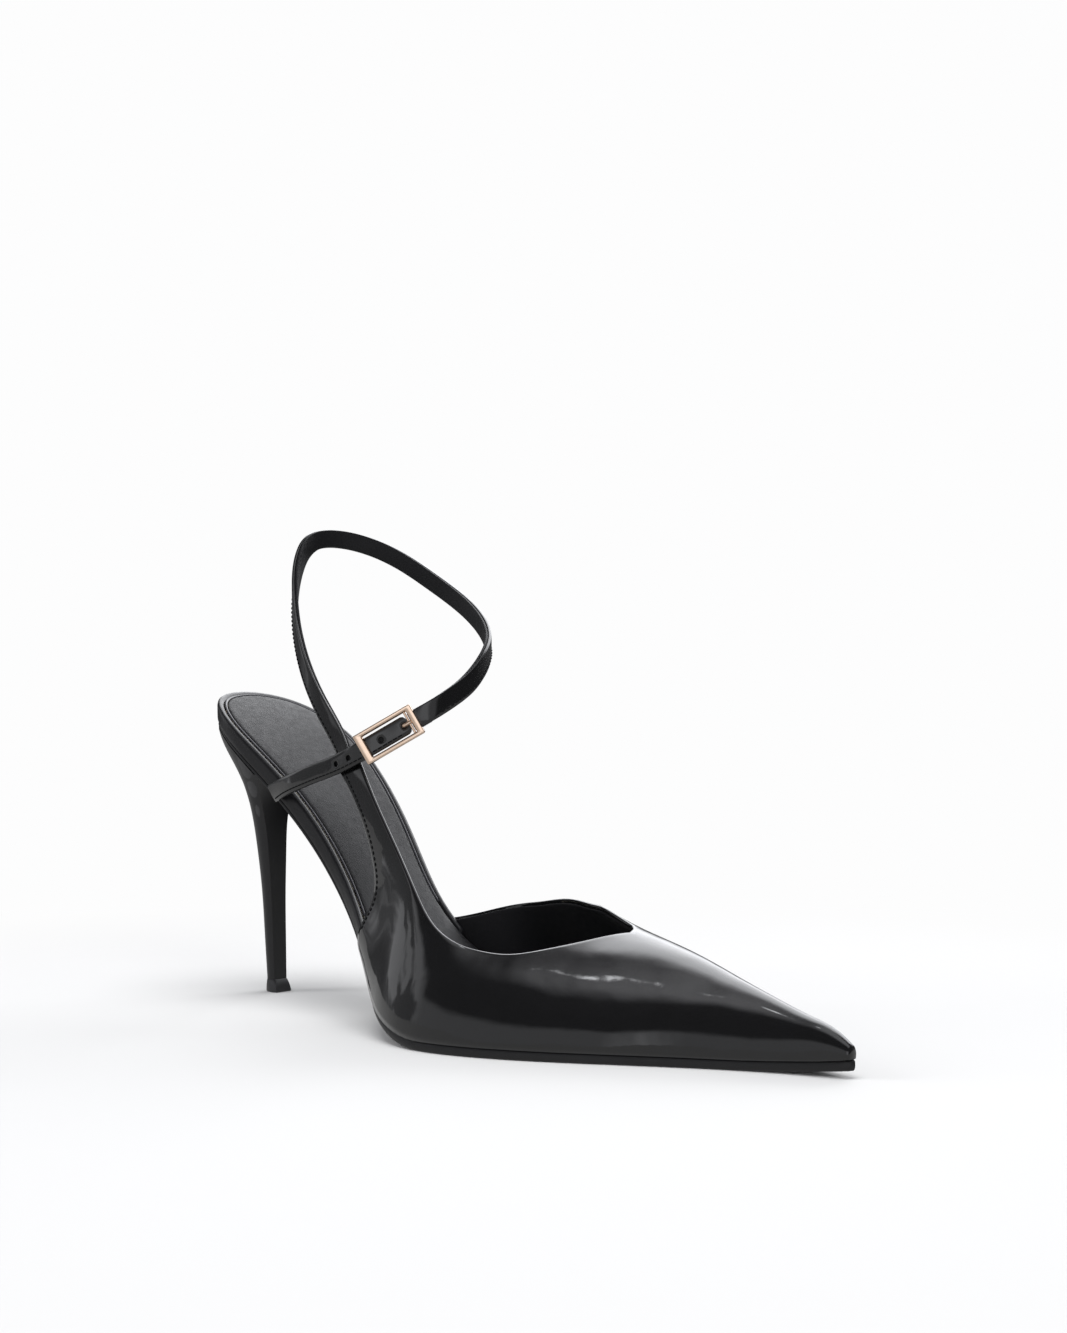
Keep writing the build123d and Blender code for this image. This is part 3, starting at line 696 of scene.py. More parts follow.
# ---- upper -------------------------------------------------------------------------------------
LAST_RIB_X = 238.6         # the foremost rib of the upper
stations = [
    (74, [(-23, 36), (-26.0, 60), (-25.5, 84), (-2, 104), (20, 84), (21, 60), (17, 36)]),
    (86, [(-28, 25), (-27.5, 47), (-26.0, 80), (-2, 98), (20, 80), (21.5, 47), (17.0, 28)]),
    (98, [(-34.8, 15), (-30.8, 38), (-27.0, 72), (-1, 90), (21, 72), (24.2, 40), (21.0, 20)]),
    (110, [(-42.0, 11), (-35.0, 34), (-28.5, 60), (0, 77), (18, 60), (25.0, 35), (26.5, 13)]),
    (122, [(-46.2, 9), (-40.0, 26), (-30.0, 46), (0, 62), (15, 52), (24.3, 33), (29.4, 11)]),
    (136, [(-46.4, 8.5), (-41.5, 20), (-29.0, 33), (1, 49), (11, 45), (22.5, 30), (28.9, 10)]),
    (150, [(-42.6, 8.5), (-37.5, 18.5), (-25.0, 29), (2, 39.6), (10, 37.6), (20.0, 26), (26.3, 9)]),
    (168, [(-34.6, 8.2), (-29.5, 17), (-17.0, 27), (2, 32.6), (9, 31.2), (16.8, 21.5), (21.6, 8.5)]),
    (184, [(-25.8, 8), (-21.6, 15.5), (-12.0, 24), (2, 28.4), (8, 26.8), (14.0, 18), (17.4, 8)]),
    (200, [(-16.8, 7.8), (-13.6, 14.5), (-7.0, 20.5), (1.2, 23.2), (6, 21.7), (10.8, 14.8), (13.0, 7.6)]),
    (214, [(-10.2, 7.2), (-8.0, 12.7), (-3.8, 17.1), (0.8, 18.5), (4.4, 16.8), (7.6, 12.1), (8.9, 7)]),
    (226, [(-5.8, 6.8), (-4.6, 11.0), (-2.2, 13.8), (0.4, 14.6), (2.6, 13.6), (4.7, 10.5), (5.6, 6.7)]),
    (235, [(-3.3, 6.4), (-2.8, 8.9), (-1.4, 10.7), (0, 11.2), (1.4, 10.7), (2.8, 8.9), (3.3, 6.4)]),
    (LAST_RIB_X, [(-2.0, 5.8), (-1.8, 7.2), (-1.0, 8.3), (0, 8.6), (1.0, 8.3), (1.8, 7.2), (2.0, 5.8)]),
]
strap_root = [(76.2, 77.6), (83.0, 81.8)]
outer_front_edge = [(86.0, 78.2), (95.6, 66), (106, 53.7), (116, 42.7), (125.3, 33.8)]
outer_collar = [(134, 28.9), (142, 27.0), (149, 26.6), (157, 28.2), (164, 30.4)]
THROAT_X = 169.5
# (x, y) near the ridge
inner_collar_shoulder = [(166, 4.6), (162, 6.4), (158, 8.0), (154, 9.6), (150, 11.4)]
inner_collar = [(143, 36.9), (131, 37.3), (113, 35.0), (98, 32.2), (84, 28.6)]           # (x, z) on the wall
outer_rear_edge = [(79.5, 74.4), (88.2, 63.2), (94, 50.6), (95.5, 44.1), (94.2, 37.2), (91, 32.6),
                   (87.3, 27.8)]
FOOT_X = 84.3
OUTER_THROAT_FOOT, INNER_THROAT_FOOT = 184.0, 177.0   # foot points square across from the throat
FINE = np.linspace(0, 1, 401)
_columns = {}


def column(x):
    """The upper's cross-section at x as a fine line of (y, z) from the outer foot to the inner."""
    key = round(float(x), 4)
    if key not in _columns:
        xs = np.array([s[0] for s in stations])
        ctrl = np.array([s[1] for s in stations], float).reshape(len(stations), -1)
        mid = cubic(xs, ctrl, [key])[0].reshape(-1, 2)
        foot = height(key, -1.5)
        ends = [(-half_width(-1, key), foot)], [(half_width(1, key), foot)]
        _columns[key] = spline(np.vstack([ends[0], mid, ends[1]]), FINE)
    return _columns[key]


def ridge_v(x):
    return FINE[int(np.argmax(column(x)[:, 1]))]


def find_v(x, z, sign):
    """Place across the section where its height is z, on the outer (-1) or inner (1) wall."""
    line = column(x)
    top = int(np.argmax(line[:, 1]))
    if sign < 0:
        return float(np.interp(z, line[:top + 1, 1], FINE[:top + 1]))
    return float(np.interp(z, line[top:, 1][::-1], FINE[top:][::-1]))


def on_upper(x, v):
    line = column(x)
    return np.array([x, np.interp(v, FINE, line[:, 0]), np.interp(v, FINE, line[:, 1])])


def foot_v(x, sign):
    return find_v(x, height(x, 0.04), sign)


def shoulder_v(x, y):
    """Place across the section above y, on top of the foot."""
    line = column(x)
    over = line[:, 1] > line[:, 1].max() - 9
    return float(np.interp(y, line[over, 0], FINE[over]))


THROAT_Y = -1.6            # the throat lies a little to the outer side of the ridge
RIDGE_KNOTS = np.linspace(THROAT_X, LAST_RIB_X, 12)
RIDGE_X = np.linspace(THROAT_X, LAST_RIB_X, 200)
RIDGE_V = cubic(RIDGE_KNOTS, np.array([ridge_v(x) for x in RIDGE_KNOTS]), RIDGE_X)
fading = np.clip(1 - np.linspace(0, 1, 200) / 0.5, 0, 1) ** 2
RIDGE_V += (shoulder_v(THROAT_X, THROAT_Y) - RIDGE_V[0]) * fading


def smooth_ridge(x):
    return float(np.interp(x, RIDGE_X, RIDGE_V))


def side_line(points, sign):
    """Smooth line through (x, z) points of the topline, in (x, place across) terms."""
    ctrl = np.array([(x, find_v(x, z, sign) * 100) for x, z in points])
    return spline(ctrl, np.linspace(0, 1, 600))


def piece_between(line, x0, x1, count):
    """Part of a line between two of its x values, evenly spaced; the line keeps its direction."""
    i = int(np.argmin(np.abs(line[:, 0] - x0)))
    j = int(np.argmin(np.abs(line[:, 0] - x1)))
    return even(line[i:j + 1], count)


def outer_borders():
    """Rear-and-foot border and topline border of the outer side, rib by rib."""
    throat_v = smooth_ridge(THROAT_X) * 100
    rear = side_line([strap_root[0]] + outer_rear_edge, -1)
    rear = np.vstack([rear[:-1], spline([rear[-1], (FOOT_X, foot_v(FOOT_X, -1) * 100)], np.linspace(0, 1, 40),
                                        unit(rear[-1] - rear[-2]))])
    front_ctrl = [strap_root[1]] + outer_front_edge + outer_collar
    ctrl = np.array([(x, find_v(x, z, -1) * 100) for x, z in front_ctrl] + [(THROAT_X, throat_v)])
    front = spline(ctrl, np.linspace(0, 1, 900))
    widest = int(np.argmax(rear[:, 0]))
    a1 = even(rear[:widest + 1], 26)
    a2 = even(rear[widest:], 15)
    b1 = piece_between(front, front[0, 0], 112, 26)
    b2 = piece_between(front, 112, 134, 15)
    b3 = piece_between(front, 134, THROAT_X, 34)
    b3[-1] = (THROAT_X, throat_v)
    x3 = np.linspace(FOOT_X, OUTER_THROAT_FOOT, 34)
    x4 = toe_spacing(OUTER_THROAT_FOOT)
    a3 = np.array([(x, foot_v(x, -1) * 100) for x in x3])
    a4 = np.array([(x, foot_v(x, -1) * 100) for x in x4])
    xr = toe_spacing(THROAT_X)
    b4 = np.array([(x, smooth_ridge(x) * 100) for x in xr])
    a = np.vstack([a1, a2[1:], a3[1:], a4[1:]])
    b = np.vstack([b1, b2[1:], b3[1:], b4[1:]])
    return a, b, 26 + 14 + 33


def inner_borders():
    throat_v = smooth_ridge(THROAT_X) * 100
    ctrl = np.array([(THROAT_X, throat_v)] + [(x, shoulder_v(x, y) * 100) for x, y in inner_collar_shoulder]
                    + [(x, find_v(x, z, 1) * 100) for x, z in inner_collar])
    collar = spline(ctrl, np.linspace(0, 1, 900))[::-1]
    b1 = even(collar, 46)
    x1 = np.linspace(84, INNER_THROAT_FOOT, 46)
    a1 = np.array([(x, foot_v(x, 1) * 100) for x in x1])
    x2 = toe_spacing(INNER_THROAT_FOOT)
    a2 = np.array([(x, foot_v(x, 1) * 100) for x in x2])
    b2 = np.array([(x, smooth_ridge(x) * 100) for x in toe_spacing(THROAT_X)])
    return np.vstack([a1, a2[1:]]), np.vstack([b1, b2[1:]]), 46


def toe_spacing(start, count=44):
    u = np.linspace(0, 1, count)
    u = 1 - (1 - u) ** 1.25
    return start + (LAST_RIB_X - start) * u


ROWS = 25


def grid_normals(grid):
    """Outward unit normals of a side of the upper."""
    n = unit(np.cross(np.gradient(grid, axis=0), np.gradient(grid, axis=1)))
    i, j = len(grid) // 2, ROWS // 3
    return n * np.sign(n[i, j, 1] * grid[i, j, 1])


def shell(grid, normals, near, far, top_open):
    """Closed wall between two depths under a grid.  The topline up to rib top_open gets a
    half-round border; ribs beyond it are left open for the mirror side."""
    count, rows = grid.shape[:2]
    face, back = grid - normals * near[:, :, None], grid - normals * far[:, :, None]
    verts = list(face.reshape(-1, 3)) + list(back.reshape(-1, 3))
    base = count * rows
    faces = []
    for i in range(count - 1):
        for j in range(rows - 1):
            k = i * rows + j
            faces.append((k, k + 1, k + rows + 1, k + rows))
            faces.append((base + k, base + k + rows, base + k + rows + 1, base + k + 1))
    arcs = 5

    def border(cells, outward, rounded):
        """Joins the two faces along a list of grid cells."""
        rows_of = []
        for (i, j), e in zip(cells, outward):
            f, g = face[i, j], back[i, j]
            centre, half = (f + g) / 2, np.linalg.norm(f - g) / 2
            n = unit(f - g)
            ids = [i * rows + j]
            if rounded:
                for k in range(1, arcs):
                    t = np.pi * k / arcs
                    verts.append(centre + half * (np.cos(t) * n + np.sin(t) * e))
                    ids.append(len(verts) - 1)
            ids.append(base + i * rows + j)
            rows_of.append(ids)
        for p, q in zip(rows_of, rows_of[1:]):
            for k in range(len(p) - 1):
                faces.append((p[k], q[k], q[k + 1], p[k + 1]))
        return rows_of

    top_cells = [(i, rows - 1) for i in range(top_open)]
    edge_run = unit(np.gradient(grid[:, -1], axis=0))
    top_out = []
    for i in range(top_open):
        e = grid[i, -1] - grid[i, -2]
        top_out.append(unit(e - edge_run[i] * np.dot(e, edge_run[i])))
    if top_out:
        top_out[-1] = unit(np.array([-1.0, 0, 0.3]))
    border(top_cells, top_out, True)
    foot_cells = [(i, 0) for i in range(count)]
    border(foot_cells, [unit(grid[i, 0] - grid[i, 1]) for i in range(count)], False)
    end_cells = [(0, j) for j in range(rows)]
    border(end_cells, [unit(grid[0, j] - grid[1, j]) for j in range(rows)], False)
    return verts, faces


def toe_cap(loop, push):
    """Closes the very tip of the toe from the last ribs of both sides."""
    centre = loop.mean(axis=0)
    centre[2] = loop[:, 2].min()
    verts, faces = list(loop), []
    n = len(loop)
    for share, step in ((0.9, 0.35), (0.68, 0.7), (0.36, 0.93), (0.02, 1.0)):
        ring = centre + (loop - centre) * share
        ring[:, 0] = loop[:, 0] + push * step
        faces += bridge(n, len(verts) - n, len(verts))
        verts.extend(list(ring))
    return verts, faces


def depth(x, wanted):
    """Depth under the upper's face, pressed together where the toe narrows."""
    width = np.maximum(half_width(-1, np.minimum(x, 238.9)), 0.25)
    return wanted * np.minimum(1.0, 0.30 * width)


PUFF_START, PUFF_THICK = 206.0, 0.4


def stiffener_room(x):
    """The patent leather is pared down over the toe stiffener."""
    return PUFF_THICK * np.clip((x - PUFF_START + 4) / 4, 0, 1)


def make_upper(name, material, near, far, short, first_x=0.0):
    """Closed wall of the upper between two depths, each a function of x; its topline stops
    short of the borders, and it starts at the rib whose foot is at first_x."""
    parts, near_ends, far_ends = [], [], []
    for borders in (OUTER_BORDERS, INNER_BORDERS):
        full = reshare(borders, np.ones(len(borders[0])))
        length = np.linalg.norm(np.diff(full, axis=1), axis=2).sum(axis=1)
        ends = np.where(np.arange(len(length)) < borders[2], 1 - short / np.maximum(length, 4), 1.0)
        grid = reshare(borders, ends)
        normals = grid_normals(grid)
        start = int(np.argmax(grid[:, 0, 0] >= first_x)) if first_x else 0
        grid, normals = grid[start:], normals[start:]
        near_depth, far_depth = (depth(grid[:, :, 0], f(grid[:, :, 0])) for f in (near, far))
        parts.append(shell(grid, normals, near_depth, far_depth, max(borders[2] - start, 0)))
        near_ends.append(grid[-1] - normals[-1] * near_depth[-1][:, None])
        far_ends.append(grid[-1] - normals[-1] * far_depth[-1][:, None])
    for ends, push in ((near_ends, 0.55 - 0.3 * near(LENGTH)), (far_ends, 0.5 - 0.3 * far(LENGTH))):
        parts.append(toe_cap(np.vstack([ends[0], ends[1][::-1][1:]]), push))
    verts, faces = merge_parts(parts)
    return new_mesh(name, np.array(verts), faces, material, merge=0.01)


def reshare(borders, ends):
    """Grid of points across one side, each rib running up to its share of the way."""
    a, b, _ = borders
    grid = np.zeros((len(a), ROWS, 3))
    for i in range(len(a)):
        for j, s in enumerate(np.linspace(0, ends[i], ROWS)):
            x = a[i, 0] + (b[i, 0] - a[i, 0]) * s
            v = (a[i, 1] + (b[i, 1] - a[i, 1]) * s) / 100
            grid[i, j] = on_upper(x, v)
    return grid


OUTER_BORDERS = outer_borders()
INNER_BORDERS = inner_borders()

# ---- straps ----------------------------------------------------------------------------------
ANKLE_CENTRE, ANKLE_AXES = (72.5, -1.0), (35.5, 24.6)
STRAP_START = (80.6, 78.2)     # (x, z) on the panel, under the anchor strap
loop_points = [(-83, 84.0), (-98, 96.2), (-120, 113), (-143, 131), (-160, 144), (-180, 151.6),
               (-203, 152.8), (-230, 148.7), (-260, 138.5), (-290, 127.6), (-315, 119), (-338, 112),
               (-352, 107.1), (-366, 102.0), (-380, 97.7)]
flex = next(j for j in frame["joints"] if j["name"] == "strap_end_flex")
pivot = next(j for j in frame["joints"] if j["name"] == "buckle_pivot")
BUCKLE_TURN, BUCKLE_RISE = math.radians(38.3), math.radians(29.9)
ALONG = np.array([math.cos(BUCKLE_RISE) * math.cos(BUCKLE_TURN),
                  math.cos(BUCKLE_RISE) * math.sin(BUCKLE_TURN), math.sin(BUCKLE_RISE)])
OUT = np.array([math.sin(BUCKLE_TURN), -math.cos(BUCKLE_TURN), 0])
ACROSS = np.cross(OUT, ALONG)
FOLD_X, FOLD_N = 8.8, -1.45
PRONG_X, PRONG_N = 7.1, 1.1


def from_frame(p):
    return np.array(p, float) * 1000 - np.array([BACK, 0, 0])


BUCKLE_CENTRE = from_frame(pivot["pos_m"]) - ALONG * FOLD_X - OUT * FOLD_N


def at_buckle(x, w, n):
    return BUCKLE_CENTRE + ALONG * x + ACROSS * w + OUT * n


def on_oval(angle, z):
    a = math.radians(angle)
    return np.array([ANKLE_CENTRE[0] + ANKLE_AXES[0] * math.cos(a),
                     ANKLE_CENTRE[1] + ANKLE_AXES[1] * math.sin(a), z])


def strap_path():
    """Centre line of the ankle strap, at the face between its two layers."""
    root = on_upper(STRAP_START[0], find_v(*STRAP_START, -1)) + (0, STRAP_LAYER - 0.05, 0)
    points = [root] + [on_oval(a, z) for a, z in loop_points]
    points += [at_buckle(12.4, 0, -STRAP_LAYER), at_buckle(FOLD_X, 0, -STRAP_LAYER)]
    return even(spline(points, np.linspace(0, 1, 2400), end=-ALONG), 361)


def strap_axes(path, side, tilt=None):
    run = unit(np.gradient(path, axis=0))
    out = unit(np.column_stack([run[:, 1], -run[:, 0], np.zeros(len(run))])) * side
    wide = np.cross(out, run) * side
    wide = unit(wide)
    wide = wide * np.sign(wide[:, 2:3])
    if tilt is not None:
        c, s = np.cos(tilt)[:, None], np.sin(tilt)[:, None]
        wide, out = wide * c - out * s, out * c + wide * s
    return run, out, wide


def strap_section(low, high, width, crown=0.0, corner=0.28, steps=3):
    """Rounded rectangle as (out, across) points, with a slightly crowned outer face."""
    half = width / 2
    points = []
    for cn, cw, start in ((high - corner, half - corner, 0), (low + corner, half - corner, 90),
                          (low + corner, corner - half, 180), (high - corner, corner - half, 270)):
        for k in range(steps + 1):
            a = math.radians(start + 90 * k / steps)
            points.append((cn + corner * math.cos(a), cw + corner * math.sin(a)))
    across = np.linspace(-half + corner, half - corner, 9)[1:-1]
    top = [(high + crown * (1 - (w / half) ** 2), w) for w in across]
    return np.array(points + top)


def sweep_strap(name, path, axes, section, material):
    _, out, wide = axes
    sections = (path[:, None, :] + section[None, :, 0:1] * out[:, None, :]
                + section[None, :, 1:2] * wide[:, None, :])
    return sharpen(section_sweep(name, sections, material), 60)


STRAP = strap_path()
STRAP_AXES = strap_axes(STRAP, -1)


def nearest(path, point):
    return int(np.argmin(np.linalg.norm(path - point, axis=1)))


FLEX_POINT = from_frame(flex["pos_m"])
FLEX_INDEX = nearest(STRAP, FLEX_POINT)
SPLIT = FLEX_INDEX - 8


def make_ankle_straps():
    """Loop in two lengths: the fixed one, and the free end that runs on from the front of the ankle to the buckle.
    """
    made = []
    narrow = strap_section(0.0, STRAP_LAYER + 0.12, STRAP_WIDTH, 0.1, 0.34)
    under = strap_section(-STRAP_LAYER, -0.02, STRAP_WIDTH - 0.25, 0.0, 0.3)
    for name, part, material, section, nodes in (
            ("ankle_strap_patent", slice(0, SPLIT + 1), PATENT, narrow, ("ankle_strap",)),
            ("ankle_strap_backing", slice(0, SPLIT + 1), LINING, under, ("ankle_strap_lining",)),
            ("strap_end_patent", slice(SPLIT, None), PATENT, narrow, ("strap_end",)),
            ("strap_end_backing", slice(SPLIT, -12), LINING, under, ("strap_end_lining",))):
        axes = tuple(a[part] for a in STRAP_AXES)
        obj = sweep_strap(name, STRAP[part], axes, section, material)
        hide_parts(*nodes)
        made.append(obj)
    return made


def make_fold():
    """The end turned round the buckle's pin, with its tail stitched back under the strap."""
    turns = [at_buckle(FOLD_X + 1.02 * math.cos(a), 0, FOLD_N + 1.02 * math.sin(a))
             for a in np.linspace(math.pi / 2, 3 * math.pi / 2, 17)]
    tail = [at_buckle(FOLD_X + d, 0, FOLD_N - 1.02 + 0.02 * d) for d in (1, 2, 3, 4)]
    lead = [at_buckle(FOLD_X + 0.4, 0, FOLD_N + 1.02)]
    path = even(np.array(lead + turns + tail), 40)
    run = unit(np.gradient(path, axis=0))
    out = np.cross(np.tile(ACROSS, (len(path), 1)), run)
    section = strap_section(-0.43, 0.43, STRAP_WIDTH, 0.0, 0.3)
    return sweep_strap("strap_end_fold", path, (run, out, np.tile(ACROSS, (len(path), 1))), section, PATENT)


anchor_points = [(42, -23.7, 69.2), (49, -25.9, 71.0), (57, -27.6, 73.0), (68, -28.4, 75.9),
                 (79.5, -28.3, 79.1)]
ANCHOR_TIP = 6.8
hole_places = [5.0, -3.0, -9.0, -14.6, -20.0]


def anchor_path():
    points = [np.array(p, float) for p in anchor_points]
    points += [at_buckle(x, 0, -STRAP_LAYER) for x in (-9.0, -3.0, 2.0, ANCHOR_TIP)]
    return even(spline(points, np.linspace(0, 1, 2000)), 200)


ANCHOR = anchor_path()
ANCHOR_S = arc_length(ANCHOR)
TWIST = 0.42


def anchor_axes(s):
    """Run, outward and width directions of the anchor strap at lengths s from its root."""
    path = np.stack([np.interp(s, ANCHOR_S, ANCHOR[:, k]) for k in range(3)], axis=1)
    steps = np.gradient(ANCHOR, axis=0)
    run = unit(np.stack([np.interp(s, ANCHOR_S, steps[:, k]) for k in range(3)], axis=1))
    out = unit(np.column_stack([run[:, 1], -run[:, 0], np.zeros(len(run))]))
    wide = unit(np.cross(out, run))
    wide = wide * np.sign(wide[:, 2:3])
    tilt = TWIST * np.clip(1 - s / 16.0, 0, 1) ** 2
    c, t = np.cos(tilt)[:, None], np.sin(tilt)[:, None]
    return path, run, out * c - wide * t, wide * c + out * t


def punched_pattern(length, holes, width, radius, tip_round):
    """Flat strap pattern as (s, w) points and quads, with round holes and a rounded tip."""
    verts, faces = [], []
    index = {}

    def vertex(s, w):
        key = (round(s, 3), round(w, 3))
        if key not in index:
            index[key] = len(verts)
            verts.append((s, w))
        return index[key]

    half, cell = width / 2, 1.7
    cuts = sorted(holes)
    edges = [0.0]
    for h in cuts:
        edges += [h - cell, h + cell]
    edges.append(length)
    rows = np.array([-half, -half + 0.35, -cell, -cell / 2, 0, cell / 2, cell, half - 0.35, half])
    for a, b in zip(edges[::2], edges[1::2]):
        steps = max(1, int(round((b - a) / 0.7)))
        for k in range(steps):
            s0, s1 = a + (b - a) * k / steps, a + (b - a) * (k + 1) / steps
            for w0, w1 in zip(rows, rows[1:]):
                faces.append((vertex(s0, w0), vertex(s1, w0), vertex(s1, w1), vertex(s0, w1)))
    for h in cuts:
        grid = [-cell, -cell / 2, 0, cell / 2, cell]
        for s0, s1 in zip(grid, grid[1:]):
            for w0, w1 in ((rows[0], rows[1]), (rows[1], rows[2]), (rows[6], rows[7]), (rows[7], rows[8])):
                faces.append((vertex(h + s0, w0), vertex(h + s1, w0), vertex(h + s1, w1), vertex(h + s0, w1)))
        rim = ([(s, -cell) for s in grid] + [(cell, w) for w in grid[1:]]
               + [(s, cell) for s in grid[::-1][1:]] + [(-cell, w) for w in grid[::-1][1:-1]])
        for j in range(16):
            p, q = rim[j], rim[(j + 1) % 16]
            for r0, r1 in ((1.0, 0.62), (0.62, 0.3), (0.3, 0.12), (0.12, 0.0)):
                quad = []
                for point, share in ((p, r0), (q, r0), (q, r1), (p, r1)):
                    angle = math.atan2(point[1], point[0])
                    ring = (radius * math.cos(angle), radius * math.sin(angle))
                    quad.append(vertex(h + ring[0] + (point[0] - ring[0]) * share,
                                       ring[1] + (point[1] - ring[1]) * share))
                faces.append(tuple(quad))
    flat = np.array(verts, float)
    tip = length - tip_round
    over = flat[:, 0] > tip
    reach = (flat[over, 0] - tip) / tip_round
    limit = np.sqrt(np.clip(1 - (flat[over, 1] / half) ** 2, 0.0, 1))
    flat[over, 0] = tip + tip_round * reach * (0.25 + 0.75 * limit)
    return flat, faces


def make_anchor(name, low, high, width, radius, material, dimple):
    length = ANCHOR_S[-1]
    places = [length - (ANCHOR_TIP - x) for x in hole_places]
    flat, quads = punched_pattern(length, places if dimple else [], width, radius, 2.0)
    path, _, out, wide = anchor_axes(flat[:, 0])
    near_hole = np.min(np.abs(np.hypot(flat[:, 0:1] - np.array(places)[None, :], flat[:, 1:2])), axis=1)
    sink = dimple * np.exp(-((near_hole - radius) / 0.28) ** 2)
    side = np.clip((np.abs(flat[:, 1]) - (width / 2 - 0.36)) / 0.36, 0, 1)
    crown = 0.1 * (1 - (flat[:, 1] / (width / 2)) ** 2) - 0.22 * side ** 2
    top = path + wide * flat[:, 1:2] + out * (high + crown - sink)[:, None]
    bottom = path + wide * flat[:, 1:2] + out * (low + 0.18 * side ** 2)[:, None]
    n = len(flat)
    faces = list(quads) + [tuple(i + n for i in q[::-1]) for q in quads]
    count = {}
    for q in quads:
        for a, b in zip(q, q[1:] + q[:1]):
            key = (min(a, b), max(a, b))
            count.setdefault(key, []).append((a, b))
    verts = np.vstack([top, bottom])
    for users in count.values():
        if len(users) == 1:
            a, b = users[0]
            faces.append((a, b, b + n, a + n))
    obj = new_mesh(name, verts, faces, material, merge=0.002)
    return sharpen(obj, 55)


# ---- buckle ----------------------------------------------------------------------------------
BUCKLE_LENGTH, BUCKLE_WIDTH, BUCKLE_DEPTH, FRAME_BASE = 19.6, 9.7, 1.9, 0.3
LEFT_BAR, RIGHT_BAR, RAIL = 2.5, 2.0, 1.45


def rounded_box_loop(x0, x1, w0, w1, radius, steps=4):
    points = []
    for cx, cw, start in ((x1 - radius, w1 - radius, 0), (x0 + radius, w1 - radius, 90),
                          (x0 + radius, w0 + radius, 180), (x1 - radius, w0 + radius, 270)):
        for k in range(steps + 1):
            a = math.radians(start + 90 * k / steps)
            points.append((cx + radius * math.cos(a), cw + radius * math.sin(a)))
    return np.array(points)


def make_buckle():
    """Rectangular frame with bevelled outer and inner edges and small pin lugs."""
    hl, hw = BUCKLE_LENGTH / 2, BUCKLE_WIDTH / 2
    top = FRAME_BASE + BUCKLE_DEPTH

    def outer(d, n):
        loop = rounded_box_loop(-hl + d, hl - d, -hw + d, hw - d, max(0.45 - d, 0.12))
        return [at_buckle(x, w, n) for x, w in loop]

    def inner(d, n):
        loop = rounded_box_loop(LEFT_BAR - hl - d, hl - RIGHT_BAR + d, RAIL - hw - d, hw - RAIL + d,
                                0.25 + d * 0.4)
        return [at_buckle(x, w, n) for x, w in loop]

    rings = [outer(0.12, FRAME_BASE), outer(0, FRAME_BASE + 0.14), outer(0, top - 0.3),
             outer(0.07, top - 0.12), outer(0.2, top - 0.02), outer(0.3, top),
             inner(0.42, top), inner(0.34, top - 0.03), inner(0.12, top - 0.28),
             inner(0.02, top - 0.6), inner(0, FRAME_BASE + 0.12), inner(0.1, FRAME_BASE)]
    n = len(rings[0])
    faces = []
    for k in range(len(rings)):
        faces += bridge(n, k * n, ((k + 1) % len(rings)) * n)
    parts = [(np.vstack(rings), faces)]
    for side in (-1, 1):
        loop = rounded_box_loop(FOLD_X - 0.9, FOLD_X + 0.7, FOLD_N - 0.9, FRAME_BASE + 0.5, 0.35)
        lug = []
        for w, d in ((3.12, 0.1), (3.22, 0.0), (4.2, 0.0), (4.3, 0.1)):
            centre = loop.mean(axis=0)
            for x, nn in loop:
                x, nn = centre[0] + (x - centre[0]) * (1 - d), centre[1] + (nn - centre[1]) * (1 - d)
                lug.append(at_buckle(x, side * w, nn))
        m = len(loop)
        lug_faces = []
        for k in range(3):
            lug_faces += bridge(m, k * m, (k + 1) * m)
        lug_faces += [tuple(range(m)), tuple(range(3 * m, 4 * m))]
        parts.append((np.array(lug), lug_faces))
    verts, faces = merge_parts(parts)
    obj = new_mesh("buckle_frame_rose_gold", np.array(verts), faces, ROSE_GOLD)
    return sharpen(obj, 28)


def make_prong():
    """Short hooked prong: an eye round its pin, a flat-topped arm and a tip in the hole."""
    eye = [at_buckle(PRONG_X + 0.62 * math.cos(a), 0, PRONG_N + 0.62 * math.sin(a))
           for a in np.linspace(-2.3, math.pi / 2, 15)]
    arm = [at_buckle(x, 0, n) for x, n in ((6.6, 1.72), (5.9, 1.7), (5.35, 1.5), (5.06, 1.1), (5.0, 0.5),
                                           (5.0, -0.1), (5.0, -0.6))]
    path = spline(np.array(eye + arm), np.linspace(0, 1, 60))
    radius = np.full(60, 0.56)
    radius[-4:] = (0.52, 0.45, 0.34, 0.15)
    verts, faces = tube(path, radius, 14)
    return new_mesh("buckle_prong_rose_gold", np.array(verts), faces, ROSE_GOLD)


# ---- stitching ----------------------------------------------------------------------------------
def stitches(name, points, normals, pitch, radius=0.2, fill=0.64, lift=0.05):
    """A row of short sewn threads that dip into the leather at both ends."""
    s = arc_length(points)
    parts = []
    count = int(s[-1] / pitch)
    for k in range(count):
        a = (k + 0.5 - fill / 2) * pitch
        at = a + np.linspace(0, fill * pitch, 7)
        p = np.stack([np.interp(at, s, points[:, i]) for i in range(3)], axis=1)
        n = unit(np.stack([np.interp(at, s, normals[:, i]) for i in range(3)], axis=1))
        rise = np.sin(np.linspace(0, math.pi, 7)) * radius * 1.1 - radius * 0.75 + lift
        parts.append(tube(p + n * rise[:, None], radius, 6))
    verts, faces = merge_parts(parts)
    return new_mesh(name, np.array(verts), faces, THREAD)


